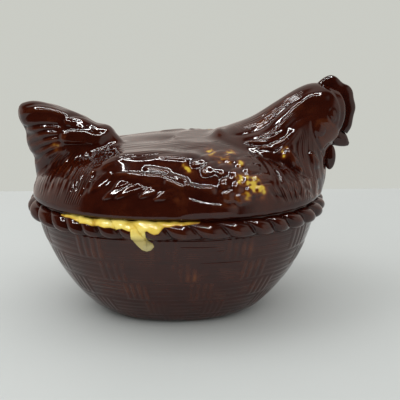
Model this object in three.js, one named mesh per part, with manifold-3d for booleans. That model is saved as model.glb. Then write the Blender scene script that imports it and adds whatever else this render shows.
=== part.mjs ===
// Hen on nest dish: a glazed pottery box in two loose pieces. The dish is an oval basket with a rope-twist
// rim, and its lid is a sitting hen. Millimetres, +Z up, and the hen faces +X. The origin lies on the surface
// that the dish stands on, under the middle of the whole object.
import * as THREE from "three";
import { mergeVertices } from "three/addons/utils/BufferGeometryUtils.js";
import Module from "manifold-3d";

const wasm = await Module();
wasm.setup();

// Lengths and widths named half are measured from the dish's middle line.
const seamHeight = 69; // the basket's flat land, on which the lid rests
const ovalPower = 2.3; // exponent of the plan ovals; 2 would be an ellipse

// Basket
const wallHalfLength = 81.5; // outside of the upright top of the wall
const wallHalfWidth = 62.5;
const uprightHeight = 58; // above this the wall stands upright
const footHalfLength = 42;
const footHalfWidth = 37;
const flarePower = 1.4; // how the wall leaves the upright
const footPower = 1.55; // how it turns in to the foot
const footRingWidth = 6;
const footRecess = 2; // the base is hollowed so that only the foot ring touches
const bowlWall = 6;
const bowlFloor = 6;

// Rope rim, in the plane across the rim
const ropeReach = 6.8; // how far it stands out from the wall
const ropeHeight = 10;
const ropeDrop = 6; // its middle lies this far below the land
const ropePitch = 11.7; // from strand to strand along the rim
const ropeTwistShare = 1.1; // strands that a groove crosses from top to bottom
const ropeGrooveShare = 0.3; // depth of a groove as a share of the rope's reach

// Lid
const lidHalfLength = 84.5;
const lidHalfWidth = 65.5;
const lidEdgeBevel = 2; // the lid's lower edge is drawn in
const lidWall = 5;
const ledgeHeight = 4.5; // thickness of the flat ledge that rests on the basket
const backHeight = 32.5; // top of the hen's back above the land
const backPower = 2.3; // exponent of the back's upright section
const backSlopeShare = 0.08; // the back is this much higher at the breast than in the middle
const flangeDepth = 7; // the ring under the lid that keeps it in the basket's opening
const flangeWidth = 5;
const flangeClearance = 1;

// Hen
const headReach = 99.6; // front of the face, from the dish's middle
const headHeight = 63.5; // top of the head above the land
const neckHalfWidth = 44; // where the neck swells out of the back
const neckWall = 6;
const hollowNeckShare = 0.5; // how far up its rails the neck is hollow
const headStartShare = 5 / 8; // where along the rails the head is joined to the neck
const combThickness = 5;
const combEdge = 1; // rounding of the comb's edge
const beakHalfWidth = 4.5;
const tailReach = 91.8; // hindmost point of the tail
const tailHeight = 53.6; // top of the tail above the land
const tailHalfThickness = 13;
const wingRaise = 2.5; // the wings stand this far out of the back
const wattleHalfThickness = 2.4;
const wattleSpread = 4.2; // from the middle plane to a wattle's middle

// Run of a second glaze over the rim
const runThickness = 0.7;
const runMiddleShare = 0.75; // the middle of the rim's right side, as a share of a turn
const runStart = -62; // along the rim's side, from the dish's middle
const runEnd = 13;
const runDrop = 24.5; // length of the longest drip, from the rope's top down
const runClearance = 0.45; // from the rope's swell to the sheet

const gap = 0.3; // between pieces that one cast joins
const overrun = 20; // how far a cutting body passes what it cuts

const ovalSteps = 48;
const archSteps = 10;
const crownShare = 0.5; // the last oval of the back stands this part of a step short of its top
const loftSteps = 26;
const railSteps = 8;
const strandSteps = 5;
const ropeSideSteps = 7;
const fineSteps = 720;
const pillowSteps = 5;
const runRowSteps = 3;
const runSideSteps = 10;

// A point of the plan oval |x/a|^n + |y/b|^n = 1, at a turn of 0 to 1 that starts at the breast.
function ovalPoint(halfLength, halfWidth, turn, height) {
  const angle = turn * 2 * Math.PI;
  const bend = 2 / ovalPower;
  const c = Math.cos(angle);
  const s = Math.sin(angle);
  return new THREE.Vector3(
    halfLength * Math.sign(c) * Math.abs(c) ** bend,
    halfWidth * Math.sign(s) * Math.abs(s) ** bend,
    height,
  );
}

// The level unit vector that points out of an oval at one of its points.
function ovalNormal(halfLength, halfWidth, point) {
  const steep = ovalPower - 1;
  return new THREE.Vector3(
    (Math.sign(point.x) * Math.abs(point.x / halfLength) ** steep) / halfLength,
    (Math.sign(point.y) * Math.abs(point.y / halfWidth) ** steep) / halfWidth,
    0,
  ).normalize();
}

// Distances along the wall's oval at fine turns, from which even steps are read.
const wallLine = Array.from({ length: fineSteps + 1 }, (_, i) =>
  ovalPoint(wallHalfLength, wallHalfWidth, i / fineSteps, 0),
);
const wallReach = [0];
for (let i = 1; i <= fineSteps; i++) {
  wallReach.push(wallReach[i - 1] + wallLine[i].distanceTo(wallLine[i - 1]));
}
const rimLength = wallReach[fineSteps];

// The turn at which the wall's oval has run a given share of its length.
function turnAt(share) {
  const wanted = share * rimLength;
  let i = 0;
  while (i + 1 < fineSteps && wallReach[i + 1] < wanted) i++;
  const step = wallReach[i + 1] - wallReach[i];
  return (i + (wanted - wallReach[i]) / step) / fineSteps;
}

const ringTurns = Array.from({ length: ovalSteps }, (_, i) => turnAt(i / ovalSteps));

// A level oval ring of points.
function ring(halfLength, halfWidth, height) {
  return ringTurns.map((turn) => ovalPoint(halfLength, halfWidth, turn, height));
}

// A closed skin through loops of equal count, each counterclockwise seen from the loop after it. The last
// loop joins the first one, or each end is closed by a fan to its middle.
function skin(loops, joined = false) {
  const count = loops[0].length;
  const points = loops.flat();
  const faces = [];
  const at = (loop, step) => (loop % loops.length) * count + (step % count);
  const spans = joined ? loops.length : loops.length - 1;
  for (let loop = 0; loop < spans; loop++) {
    for (let step = 0; step < count; step++) {
      faces.push(at(loop, step), at(loop, step + 1), at(loop + 1, step + 1));
      faces.push(at(loop, step), at(loop + 1, step + 1), at(loop + 1, step));
    }
  }
  if (!joined) {
    const last = loops.length - 1;
    const middleOf = (loop) =>
      loop.reduce((sum, p) => sum.add(p), new THREE.Vector3()).divideScalar(count);
    const first = points.push(middleOf(loops[0])) - 1;
    const end = points.push(middleOf(loops[last])) - 1;
    for (let step = 0; step < count; step++) {
      faces.push(first, at(0, step + 1), at(0, step));
      faces.push(end, at(last, step), at(last, step + 1));
    }
  }
  const geometry = new THREE.BufferGeometry().setFromPoints(points);
  geometry.setIndex(faces);
  return geometry;
}

// A closed geometry as a solid that can be joined and cut.
function solidOf(geometry) {
  const bare = geometry.clone();
  bare.deleteAttribute("normal");
  bare.deleteAttribute("uv");
  const merged = mergeVertices(bare);
  return new wasm.Manifold(
    new wasm.Mesh({
      numProp: 3,
      vertProperties: merged.attributes.position.array,
      triVerts: new Uint32Array(merged.index.array),
    }),
  );
}

// A solid back as a geometry with flat shading normals.
function geometryOf(solid) {
  const mesh = solid.getMesh();
  const geometry = new THREE.BufferGeometry();
  geometry.setAttribute("position", new THREE.BufferAttribute(mesh.vertProperties, 3));
  geometry.setIndex(new THREE.BufferAttribute(mesh.triVerts, 1));
  geometry.computeVertexNormals();
  return geometry;
}

// The basket's half size at a height: it swells from the foot, fast at first, up to the upright wall.
function basketHalf(foot, wall, height, floor) {
  const below = Math.max(0, (uprightHeight - height) / (uprightHeight - floor));
  return foot + (wall - foot) * (1 - below ** flarePower) ** (1 / footPower);
}

const openingHalfLength = wallHalfLength - bowlWall;
const openingHalfWidth = wallHalfWidth - bowlWall;

// The basket dish: foot ring, wall, flat land and a smooth inside.
function basketSkin() {
  const floorHeight = footRecess + bowlFloor;
  const outsideShares = [0.02, 0.07, 0.15, 0.26, 0.4, 0.56, 0.76, 1];
  const insideShares = [1, 0.78, 0.58, 0.42, 0.28, 0.16, 0.07, 0.02, 0];
  const recess = footRingWidth + footRecess;
  const loops = [
    ring(footHalfLength - recess, footHalfWidth - recess, footRecess),
    ring(footHalfLength - footRingWidth, footHalfWidth - footRingWidth, 0),
    ring(footHalfLength, footHalfWidth, 0),
  ];
  for (const share of outsideShares) {
    const height = uprightHeight * share;
    loops.push(
      ring(
        basketHalf(footHalfLength, wallHalfLength, height, 0),
        basketHalf(footHalfWidth, wallHalfWidth, height, 0),
        height,
      ),
    );
  }
  loops.push(ring(wallHalfLength, wallHalfWidth, seamHeight));
  loops.push(ring(openingHalfLength, openingHalfWidth, seamHeight));
  for (const share of insideShares) {
    const height = floorHeight + (uprightHeight - floorHeight) * share;
    loops.push(
      ring(
        basketHalf(footHalfLength, openingHalfLength, height, floorHeight),
        basketHalf(footHalfWidth, openingHalfWidth, height, floorHeight),
        height,
      ),
    );
  }
  return skin(loops);
}

// A point beside the basket's upright wall: out from it, and up from the rope's middle.
const ropeMiddle = seamHeight - ropeDrop;
function besideWall(share, out, up) {
  const foot = ovalPoint(wallHalfLength, wallHalfWidth, turnAt(share), ropeMiddle + up);
  const normal = ovalNormal(wallHalfLength, wallHalfWidth, foot);
  return foot.addScaledVector(normal, out);
}

// The rope-twist rim: a half-round moulding whose slanting grooves part it into strands.
function ropeSkin() {
  const strands = Math.round(rimLength / ropePitch);
  const loops = [];
  const count = strands * strandSteps;
  for (let i = 0; i < count; i++) {
    const loop = [];
    for (let k = 0; k <= ropeSideSteps; k++) {
      const angle = Math.PI * (0.5 - k / ropeSideSteps);
      const phase = i / strandSteps + ropeTwistShare * (k / ropeSideSteps);
      const swell = 1 - ropeGrooveShare * (1 - Math.abs(Math.sin(Math.PI * phase)));
      const out = gap + ropeReach * swell * Math.cos(angle);
      loop.push(besideWall(i / count, out, (ropeHeight / 2) * Math.sin(angle)));
    }
    loops.push(loop);
  }
  return skin(loops, true);
}

// The hen's back: ovals drawn in as they rise, on a flat bottom at the land. A grown back is larger all
// round.
function backSkin(grow, bevel) {
  const halfLength = lidHalfLength + grow;
  const halfWidth = lidHalfWidth + grow;
  const rise = backHeight + grow;
  const loops = [
    ring(halfLength - bevel, halfWidth - bevel, seamHeight),
    ring(halfLength, halfWidth, seamHeight + lidEdgeBevel),
  ];
  for (let k = 1; k <= archSteps; k++) {
    const angle = (Math.PI / 2) * (1 - k / (archSteps + crownShare));
    const inward = Math.sin(angle) ** (2 / backPower);
    const upward = Math.cos(angle) ** (2 / backPower);
    const loop = ring(halfLength * inward, halfWidth * inward, seamHeight);
    for (const point of loop) {
      point.z += rise * (1 + (backSlopeShare * point.x) / halfLength) * upward;
    }
    loops.push(loop);
  }
  return skin(loops);
}

// A plain oval block between two heights.
function blockSkin(halfLength, halfWidth, low, high) {
  return skin([ring(halfLength, halfWidth, low), ring(halfLength, halfWidth, high)]);
}

// A body between two rails in the middle plane. Each row of its table is a section: the back rail's length
// and height, the front rail's, and the half width, as shares of the head's reach, the head's height and a
// full half width. The sections are ellipses that span the rails.
function railSkin(rows, fullHalfWidth, from, to, steps, grow) {
  const place = (x, wide, z) =>
    new THREE.Vector3(headReach * x, fullHalfWidth * wide, seamHeight + headHeight * z);
  // The front rail carries the half width as its y.
  const back = new THREE.CatmullRomCurve3(rows.map((row) => place(row[0], 0, row[1])));
  const front = new THREE.CatmullRomCurve3(rows.map((row) => place(row[2], row[4], row[3])));
  const loops = [];
  for (let i = 0; i <= steps; i++) {
    const along = from + (to - from) * (i / steps);
    const rear = back.getPoint(along);
    const fore = front.getPoint(along);
    const halfWidth = fore.y + grow;
    fore.y = 0;
    const middle = rear.clone().add(fore).divideScalar(2);
    const half = fore.sub(middle);
    half.setLength(half.length() + grow);
    const loop = [];
    for (let k = 0; k < loftSteps; k++) {
      const angle = (2 * Math.PI * k) / loftSteps;
      const point = middle.clone().addScaledVector(half, Math.cos(angle));
      point.y += halfWidth * Math.sin(angle);
      loop.push(point);
    }
    loops.push(loop);
  }
  return skin(loops);
}

// Neck and head, from deep in the back up to the face
const neckShares = [
  [0.12, 0.3, 0.862, -0.047, 1],
  [0.2, 0.535, 0.88, 0.079, 0.82],
  [0.301, 0.6, 0.889, 0.173, 0.66],
  [0.442, 0.688, 0.888, 0.283, 0.51],
  [0.582, 0.827, 0.903, 0.378, 0.386],
  [0.703, 0.945, 0.934, 0.457, 0.33],
  [0.793, 0.997, 0.962, 0.535, 0.318],
  [0.884, 0.985, 0.984, 0.646, 0.273],
  [0.95, 0.925, 0.992, 0.772, 0.16],
];

// The beak: a small hooked cone between an upper and a lower rail.
const beakShares = [
  [0.93, 0.62, 0.9, 0.43, 1],
  [0.975, 0.575, 0.955, 0.41, 0.85],
  [1.01, 0.515, 0.995, 0.405, 0.55],
  [1.029, 0.44, 1.022, 0.412, 0.12],
];

// A line of points in the middle plane, given as shares of a reach and of a height above the land.
function outline(shares, reach, height) {
  return shares.map(([x, z]) => new THREE.Vector2(reach * x, seamHeight + height * z));
}

// A flat plate with the outline given, across the middle plane, its edges rounded.
function plateSkin(points, thickness, edge, segments) {
  const shape = new THREE.Shape(points);
  const plate = new THREE.ExtrudeGeometry(shape, {
    depth: thickness - 2 * edge,
    steps: 1,
    bevelEnabled: edge > 0,
    bevelThickness: edge,
    bevelSize: edge,
    bevelOffset: -edge,
    bevelSegments: segments,
  });
  plate.translate(0, 0, edge - thickness / 2);
  plate.rotateX(Math.PI / 2);
  return plate;
}

// The single comb, from the crown forward and down to the beak.
const combShares = [
  [0.78, 0.93],
  [0.834, 1.0],
  [0.862, 1.053],
  [0.905, 1.079],
  [0.949, 1.056],
  [0.976, 1.009],
  [1.02, 0.983],
  [1.043, 0.91],
  [1.037, 0.85],
  [1.0592, 0.762],
  [1.05, 0.64],
  [1.015, 0.53],
  [0.93, 0.56],
  [0.91, 0.72],
  [0.86, 0.86],
];

// The tail: a fan of feathers, outlined from its hind foot up, over the tips and down into the back.
const tailShares = [
  [-0.91, 0.02],
  [-0.9, 0.1],
  [-0.905, 0.19],
  [-0.913, 0.31],
  [-0.914, 0.4],
  [-0.938, 0.47],
  [-0.954, 0.57],
  [-0.958, 0.69],
  [-0.99, 0.8],
  [-1.0, 0.88],
  [-0.985, 0.966],
  [-0.928, 1.0],
  [-0.871, 0.998],
  [-0.792, 0.965],
  [-0.729, 0.922],
  [-0.666, 0.894],
  [-0.601, 0.845],
  [-0.545, 0.785],
  [-0.503, 0.75],
  [-0.45, 0.74],
  [-0.415, 0.71],
  [-0.385, 0.64],
  [-0.34, 0.56],
  [-0.28, 0.45],
  [-0.32, 0.22],
  [-0.55, 0.15],
  [-0.8, 0.02],
];
const tailRootShares = [-0.63, 0.37];

// A pillow on an outline: it thins from its middle out to a rounded edge.
function pillowSkin(points, middle, halfThickness) {
  const loops = [];
  for (let k = -pillowSteps; k <= pillowSteps; k++) {
    const angle = (Math.PI / 2) * (k / (pillowSteps + crownShare));
    const share = Math.cos(angle);
    const across = halfThickness * Math.sin(angle);
    loops.push(
      points.map(
        (p) =>
          new THREE.Vector3(
            middle.x + (p.x - middle.x) * share,
            across,
            middle.y + (p.y - middle.y) * share,
          ),
      ),
    );
  }
  return skin(loops);
}

// A folded wing seen from the side, from its hind tip along the upper edge, in shares of the lid's half
// length and of the back's height.
const wingShares = [
  [-0.459, 0.62],
  [-0.379, 0.69],
  [-0.29, 0.745],
  [-0.175, 0.79],
  [-0.077, 0.82],
  [0.056, 0.85],
  [0.157, 0.865],
  [0.258, 0.865],
  [0.391, 0.84],
  [0.469, 0.78],
  [0.512, 0.69],
  [0.536, 0.57],
  [0.524, 0.416],
  [0.458, 0.295],
  [0.393, 0.226],
  [0.298, 0.22],
  [0.173, 0.27],
  [0.08, 0.341],
  [0.018, 0.41],
  [-0.075, 0.49],
  [-0.169, 0.55],
  [-0.296, 0.6],
];

// How far down the run of glaze reaches along the rim, as shares of its length and of its drop.
const runShares = [
  [0, 0.08],
  [0.05, 0.15],
  [0.12, 0.12],
  [0.2, 0.2],
  [0.46, 0.28],
  [0.5, 0.38],
  [0.535, 0.62],
  [0.57, 0.86],
  [0.61, 1],
  [0.65, 0.94],
  [0.675, 0.7],
  [0.7, 0.4],
  [0.755, 0.36],
  [0.78, 0.2],
  [1, 0.08],
];

// The run of glaze: a thin sheet that lies over the rope, and whose drip goes on down the wall.
function runSkin() {
  const topShare = 0.44; // of a half turn above the level at which the sheet starts on the rope
  const underShare = 0.38; // of a half turn below it, where the sheet leaves the rope for the wall
  const lineOf = (off) => {
    const points = [];
    for (let k = 0; k <= ropeSideSteps; k++) {
      const angle = Math.PI * (topShare - ((topShare + underShare) * k) / ropeSideSteps);
      const out = gap + (ropeReach + off) * Math.cos(angle);
      points.push(new THREE.Vector2(out, (ropeHeight / 2 + off) * Math.sin(angle)));
    }
    points.push(new THREE.Vector2(off, -(ropeHeight + ropeReach) / 2));
    points.push(new THREE.Vector2(off, -runDrop));
    return new THREE.SplineCurve(points);
  };
  const inner = lineOf(runClearance);
  const outer = lineOf(runClearance + runThickness);
  const reach = outer.getLength();
  const loops = [];
  for (let i = 0; i <= (runShares.length - 1) * runRowSteps; i++) {
    const row = Math.min(Math.floor(i / runRowSteps), runShares.length - 2);
    const part = i / runRowSteps - row;
    const place = runShares[row][0] * (1 - part) + runShares[row + 1][0] * part;
    const depth = runShares[row][1] * (1 - part) + runShares[row + 1][1] * part;
    const along = runMiddleShare + (runStart + (runEnd - runStart) * place) / rimLength;
    const down = (runDrop * depth) / reach;
    const loop = [];
    for (let k = 0; k <= runSideSteps; k++) {
      const at = outer.getPointAt((down * k) / runSideSteps);
      loop.push(besideWall(along, at.x, at.y));
    }
    for (let k = runSideSteps; k >= 0; k--) {
      const at = inner.getPointAt((down * k) / runSideSteps);
      loop.push(besideWall(along, at.x, at.y));
    }
    loops.push(loop);
  }
  return skin(loops);
}

const brownGlaze = { color: 0x3c130c, roughness: 0.12, metalness: 0 };
const yellowGlaze = { color: 0xd9b25a, roughness: 0.15, metalness: 0 };

const hen = new THREE.Group();
const nest = new THREE.Group();
const lid = new THREE.Group();
hen.add(nest, lid);

function add(group, name, geometry, look) {
  const mesh = new THREE.Mesh(geometry, new THREE.MeshStandardMaterial(look));
  mesh.name = name;
  group.add(mesh);
}

// The basket dish and what is moulded or runs on it
add(nest, "nest_bowl", basketSkin(), brownGlaze);
add(nest, "rope_rim", ropeSkin(), brownGlaze);
add(nest, "rim_glaze_run", runSkin(), yellowGlaze);

// Bodies that the hen's pieces are cut with
const backOuter = solidOf(backSkin(0, lidEdgeBevel));
const backClear = solidOf(backSkin(gap, 0));
const belowLid = solidOf(blockSkin(headReach, headReach, -overrun, seamHeight + gap));
const hollowTop = seamHeight + backHeight + overrun;
const ledgeTop = seamHeight + ledgeHeight;
const hollowLimit = solidOf(
  blockSkin(lidHalfLength - lidWall, lidHalfWidth - lidWall, ledgeTop, hollowTop),
);
const neckHollow = solidOf(
  railSkin(neckShares, neckHalfWidth, 0, hollowNeckShare, railSteps, -neckWall),
).intersect(hollowLimit);
const flangeHalfLength = openingHalfLength - flangeClearance;
const flangeHalfWidth = openingHalfWidth - flangeClearance;
const mouth = solidOf(
  blockSkin(
    flangeHalfLength - flangeWidth,
    flangeHalfWidth - flangeWidth,
    seamHeight - overrun,
    ledgeTop,
  ),
);
const backHollow = solidOf(backSkin(-lidWall, 0)).intersect(hollowLimit);

// The lid's shell: the hen's back, open below, on a flat ledge
const lidShell = backOuter.subtract(backHollow).subtract(mouth).subtract(neckHollow);
add(lid, "lid_shell", geometryOf(lidShell), brownGlaze);

// The locating ring under the ledge
function flangeSkin() {
  const corners = [
    [flangeHalfLength, flangeHalfWidth, seamHeight],
    [flangeHalfLength, flangeHalfWidth, seamHeight - flangeDepth],
    [flangeHalfLength - flangeWidth, flangeHalfWidth - flangeWidth, seamHeight - flangeDepth],
    [flangeHalfLength - flangeWidth, flangeHalfWidth - flangeWidth, seamHeight],
  ];
  return skin(
    ringTurns.map((turn) => corners.map(([a, b, height]) => ovalPoint(a, b, turn, height))),
    true,
  );
}
add(lid, "locating_flange", flangeSkin(), brownGlaze);

// Neck, head and what the head carries
const neckBody = solidOf(railSkin(neckShares, neckHalfWidth, 0, headStartShare, railSteps * 2, 0));
const neck = neckBody.subtract(neckHollow).subtract(backClear).subtract(belowLid);
add(lid, "neck", geometryOf(neck), brownGlaze);
add(lid, "head", railSkin(neckShares, neckHalfWidth, headStartShare, 1, railSteps, 0), brownGlaze);
const headClear = solidOf(railSkin(neckShares, neckHalfWidth, 0, 1, railSteps * 3, gap));

const combBody = solidOf(plateSkin(outline(combShares, headReach, headHeight), combThickness, combEdge, 1));
const comb = combBody.subtract(headClear);
add(lid, "comb", geometryOf(comb), brownGlaze);

const combClear = solidOf(
  plateSkin(outline(combShares, headReach, headHeight), combThickness + 2 * gap, 0, 1),
);
const beak = solidOf(railSkin(beakShares, beakHalfWidth, 0, 1, railSteps, 0))
  .subtract(headClear)
  .subtract(combClear);
add(lid, "beak", geometryOf(beak), brownGlaze);

const beakClear = solidOf(railSkin(beakShares, beakHalfWidth, 0, 1, railSteps, gap));
const wattleShares = { x: 0.909, z: 0.32, halfLength: 0.034, halfHeight: 0.12 };
for (const [name, side] of [
  ["wattle_right", -1],
  ["wattle_left", 1],
]) {
  const drop = new THREE.SphereGeometry(1, 16, 10);
  drop.scale(
    headReach * wattleShares.halfLength,
    wattleHalfThickness,
    headHeight * wattleShares.halfHeight,
  );
  drop.translate(
    headReach * wattleShares.x,
    side * wattleSpread,
    seamHeight + headHeight * wattleShares.z,
  );
  const wattle = solidOf(drop).subtract(headClear).subtract(beakClear).subtract(backClear);
  add(lid, name, geometryOf(wattle), brownGlaze);
}

// The tail stands on the back
const tailMiddle = outline([tailRootShares], tailReach, tailHeight)[0];
const tailBody = solidOf(
  pillowSkin(outline(tailShares, tailReach, tailHeight), tailMiddle, tailHalfThickness),
);
add(lid, "tail_fan", geometryOf(tailBody.subtract(backClear)), brownGlaze);

// The wings lie on the back's sides
const wingLine = outline(wingShares, lidHalfLength, backHeight);
const wingSpace = solidOf(backSkin(wingRaise, 0)).subtract(backClear).subtract(headClear);
for (const [name, side] of [
  ["wing_right", -1],
  ["wing_left", 1],
]) {
  const block = plateSkin(wingLine, lidHalfWidth + overrun, 0, 1);
  block.translate(0, (side * (lidHalfWidth + overrun)) / 2, 0);
  add(lid, name, geometryOf(solidOf(block).intersect(wingSpace)), brownGlaze);
}

// The whole object's middle lies over the origin.
const combReach = headReach * Math.max(...combShares.map(([x]) => x));
hen.position.x = (tailReach - combReach) / 2;

export default hen;
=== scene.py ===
"""Hen on nest dish: an oval basket with a rope rim, and a lid like a sitting hen, in dark brown glaze."""

import math

import bpy
import numpy as np
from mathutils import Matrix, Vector


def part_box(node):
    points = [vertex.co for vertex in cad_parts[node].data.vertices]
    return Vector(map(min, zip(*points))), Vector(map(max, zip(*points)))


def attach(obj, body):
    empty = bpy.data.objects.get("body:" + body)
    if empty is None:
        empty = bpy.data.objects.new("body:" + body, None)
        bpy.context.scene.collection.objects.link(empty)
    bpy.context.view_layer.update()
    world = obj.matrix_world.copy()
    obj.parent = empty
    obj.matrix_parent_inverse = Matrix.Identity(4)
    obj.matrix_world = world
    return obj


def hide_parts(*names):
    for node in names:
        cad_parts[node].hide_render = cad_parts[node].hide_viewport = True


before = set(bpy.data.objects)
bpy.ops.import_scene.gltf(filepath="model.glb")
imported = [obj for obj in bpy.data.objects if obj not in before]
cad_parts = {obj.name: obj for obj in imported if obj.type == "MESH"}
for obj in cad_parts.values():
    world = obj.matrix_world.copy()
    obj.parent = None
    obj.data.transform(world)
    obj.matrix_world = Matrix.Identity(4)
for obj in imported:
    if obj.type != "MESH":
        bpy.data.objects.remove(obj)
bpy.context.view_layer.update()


# ---------------------------------------------------------------------------
# Camera: where the photograph was taken from, found from the rim's oval, the
# seam and the foot. Its lens is 75 mm on a 36 mm frame of 400 by 400 points.
# Lengths here and below are millimetres from the dish's middle, on the table.
MM = 0.001
bowl_low, bowl_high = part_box("nest_bowl")
middle_x = (bowl_low.x + bowl_high.x) / 2 / MM  # the dish's middle, from the middle of the whole object
camera_place = np.array([0.0, -482.96, 198.41])
camera_down = math.radians(15.74)
camera_right = math.radians(1.637)
frame_side = 400
lens_mm, sensor_mm = 75, 36
focal = lens_mm / sensor_mm * frame_side  # in points of the photograph's frame

camera_data = bpy.data.cameras.new("photo_camera")
camera_data.lens = lens_mm
camera_data.sensor_width = sensor_mm
camera_data.clip_start, camera_data.clip_end = 0.05, 20
camera = bpy.data.objects.new("photo_camera", camera_data)
bpy.context.scene.collection.objects.link(camera)
camera.location = Vector((camera_place + [middle_x, 0, 0]) * MM)
camera.rotation_euler = (math.pi / 2 - camera_down, 0, -camera_right)
bpy.context.scene.camera = camera
bpy.context.scene.view_settings.view_transform = "Standard"

look = np.array([
    math.sin(camera_right) * math.cos(camera_down),
    math.cos(camera_right) * math.cos(camera_down),
    -math.sin(camera_down),
])
right = np.array([math.cos(camera_right), -math.sin(camera_right), 0.0])
up = np.cross(right, look)


# ---------------------------------------------------------------------------
# Table, room and lamps: a pale table in a pale light tent. The tent is open and
# dark towards the camera and overhead, so that the glaze looks as deep as it
# is. A ring of narrow lamps above draws the long bright outlines in it, and a
# soft lamp on the left lights the colours.
def named_nodes(tree):
    """Short ways to add a node by its type, to link two sockets, and to reckon with sockets and numbers."""
    def add(kind, **settings):
        node = tree.nodes.new(kind)
        for key, value in settings.items():
            if key in node.inputs.keys():
                node.inputs[key].default_value = value
            else:
                setattr(node, key, value)
        return node

    def worked_out(operation, *values):
        node = add("ShaderNodeMath", operation=operation)
        for socket, value in zip(node.inputs, values):
            if isinstance(value, float):
                socket.default_value = value
            else:
                tree.links.new(value, socket)
        return node.outputs[0]

    return add, tree.links.new, worked_out


def set_stops(ramp, stops):
    """Gives a colour ramp its stops, each a place from 0 to 1 and a colour."""
    elements = ramp.color_ramp.elements
    while len(elements) < len(stops):
        elements.new(0.5)
    for element, (at, colour) in zip(elements, stops):
        element.position, element.color = at, (*colour, 1)


table_material = bpy.data.materials.new("pale_table")
table_material.use_nodes = True
table_tree = table_material.node_tree
add, link, _ = named_nodes(table_tree)
table_shader = table_tree.nodes["Principled BSDF"]
table_shader.inputs["Roughness"].default_value = 0.75
table_noise = add("ShaderNodeTexNoise", Scale=9.0, Detail=6.0)
table_ramp = add("ShaderNodeValToRGB")
set_stops(table_ramp, [(0, (0.555, 0.58, 0.57)), (1, (0.60, 0.62, 0.61))])
link(add("ShaderNodeTexCoord").outputs["Object"], table_noise.inputs["Vector"])
link(table_noise.outputs["Fac"], table_ramp.inputs["Fac"])
link(table_ramp.outputs["Color"], table_shader.inputs["Base Color"])

table_half, table_back, table_front = 1.6, 0.255, 0.31  # metres
table_corners = [(-table_half, -table_front, 0), (table_half, -table_front, 0), (table_half, table_back, 0),
                 (-table_half, table_back, 0)]
table_mesh = bpy.data.meshes.new("table")
table_mesh.from_pydata(table_corners, [], [(0, 1, 2, 3)])
table_mesh.materials.append(table_material)
table = bpy.data.objects.new("table", table_mesh)
bpy.context.scene.collection.objects.link(table)

tent_pale, tent_dark = (0.68, 0.60, 0.545, 1), (0.025, 0.024, 0.022, 1)  # as the glaze reflects it
plain_light = (0.97, 0.975, 0.96, 1)  # as it lights the object
backdrop_colour = (0.59, 0.60, 0.555, 1)  # as the camera sees it
ahead, overhead = (-0.22, -0.975, 0), (0, 0, 1)
right_side, left_side = (0.975, -0.22, 0), (-0.975, 0.22, 0)

world = bpy.data.worlds.new("light_tent")
bpy.context.scene.world = world
world.use_nodes = True
add, link, worked_out = named_nodes(world.node_tree)
background = world.node_tree.nodes["Background"]
direction = add("ShaderNodeTexCoord").outputs["Generated"]


def toward(way, low, high):
    """How far a direction leans a given way, as a soft step between two cosines."""
    lean = add("ShaderNodeVectorMath", operation="DOT_PRODUCT")
    lean.inputs[1].default_value = way
    link(direction, lean.inputs[0])
    step = add("ShaderNodeMapRange", interpolation_type="SMOOTHSTEP")
    step.inputs["From Min"].default_value, step.inputs["From Max"].default_value = low, high
    link(lean.outputs["Value"], step.inputs["Value"])
    return step.outputs[0]


def laid_over(base, mask, colour):
    """A colour laid over another, or over what a socket gives, as far as a mask says."""
    mix = add("ShaderNodeMix", data_type="RGBA")
    link(mask, mix.inputs["Factor"])
    mix.inputs[7].default_value = colour
    if isinstance(base, tuple):
        mix.inputs[6].default_value = base
    else:
        link(base, mix.inputs[6])
    return mix.outputs[2]


opening = toward(ahead, -0.42, -0.26)
for lean in (toward(overhead, -0.55, -0.45), toward(right_side, 0.86, 0.64), toward(left_side, 0.88, 0.66)):
    opening = worked_out("MULTIPLY", opening, lean)
paths = add("ShaderNodeLightPath")
reflected = laid_over(tent_pale, opening, tent_dark)
lighting = laid_over(reflected, paths.outputs["Is Diffuse Ray"], plain_light)
link(laid_over(lighting, paths.outputs["Is Camera Ray"], backdrop_colour), background.inputs["Color"])


def hang_lamp(name, size, watts, place, turned):
    """A rectangular lamp that shines downwards until it is turned."""
    data = bpy.data.lights.new(name, "AREA")
    data.shape, data.energy = "RECTANGLE", watts
    data.size, data.size_y = size
    lamp = bpy.data.objects.new(name, data)
    lamp.location, lamp.rotation_euler = place, turned
    bpy.context.scene.collection.objects.link(lamp)
    return lamp


ring_height, ring_half_length, ring_half_width, strip_width = 0.46, 0.17, 0.12, 0.010  # metres
ring_middle = -0.10
strip_watts, soft_watts, soft_side = 0.85, 1.4, 0.5
for name, x, y, length, turn in (
    ("lamp_front", 0, -ring_half_width, 2 * ring_half_length, 0),
    ("lamp_back", 0, ring_half_width, 2 * ring_half_length, 0),
    ("lamp_left", -ring_half_length, 0, 2 * ring_half_width, math.pi / 2),
    ("lamp_right", ring_half_length, 0, 2 * ring_half_width, math.pi / 2),
):
    strip = hang_lamp(name, (length, strip_width), strip_watts * length / (2 * ring_half_length),
                      (x, ring_middle + y, ring_height), (0, 0, turn))
    strip.visible_diffuse = False

soft_place, soft_aim = (-0.45, -0.05, 0.65), Vector((0.45, 0.05, -0.62))
soft_turn = soft_aim.to_track_quat("-Z", "Y").to_euler()
soft_lamp = hang_lamp("soft_left", (soft_side, soft_side), soft_watts, soft_place, soft_turn)
soft_lamp.visible_glossy = False


# ---------------------------------------------------------------------------
# The brown glaze, on every cast piece: nearly black red where it pools, and
# amber where it breaks thin over an edge. One group of nodes puts out its
# colour, its roughness and its heights, and each material sets the gloss.
streak_share, mottle_share, drift_share = 1.6, 0.55, 0.16  # what each adds to the thinness


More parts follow.
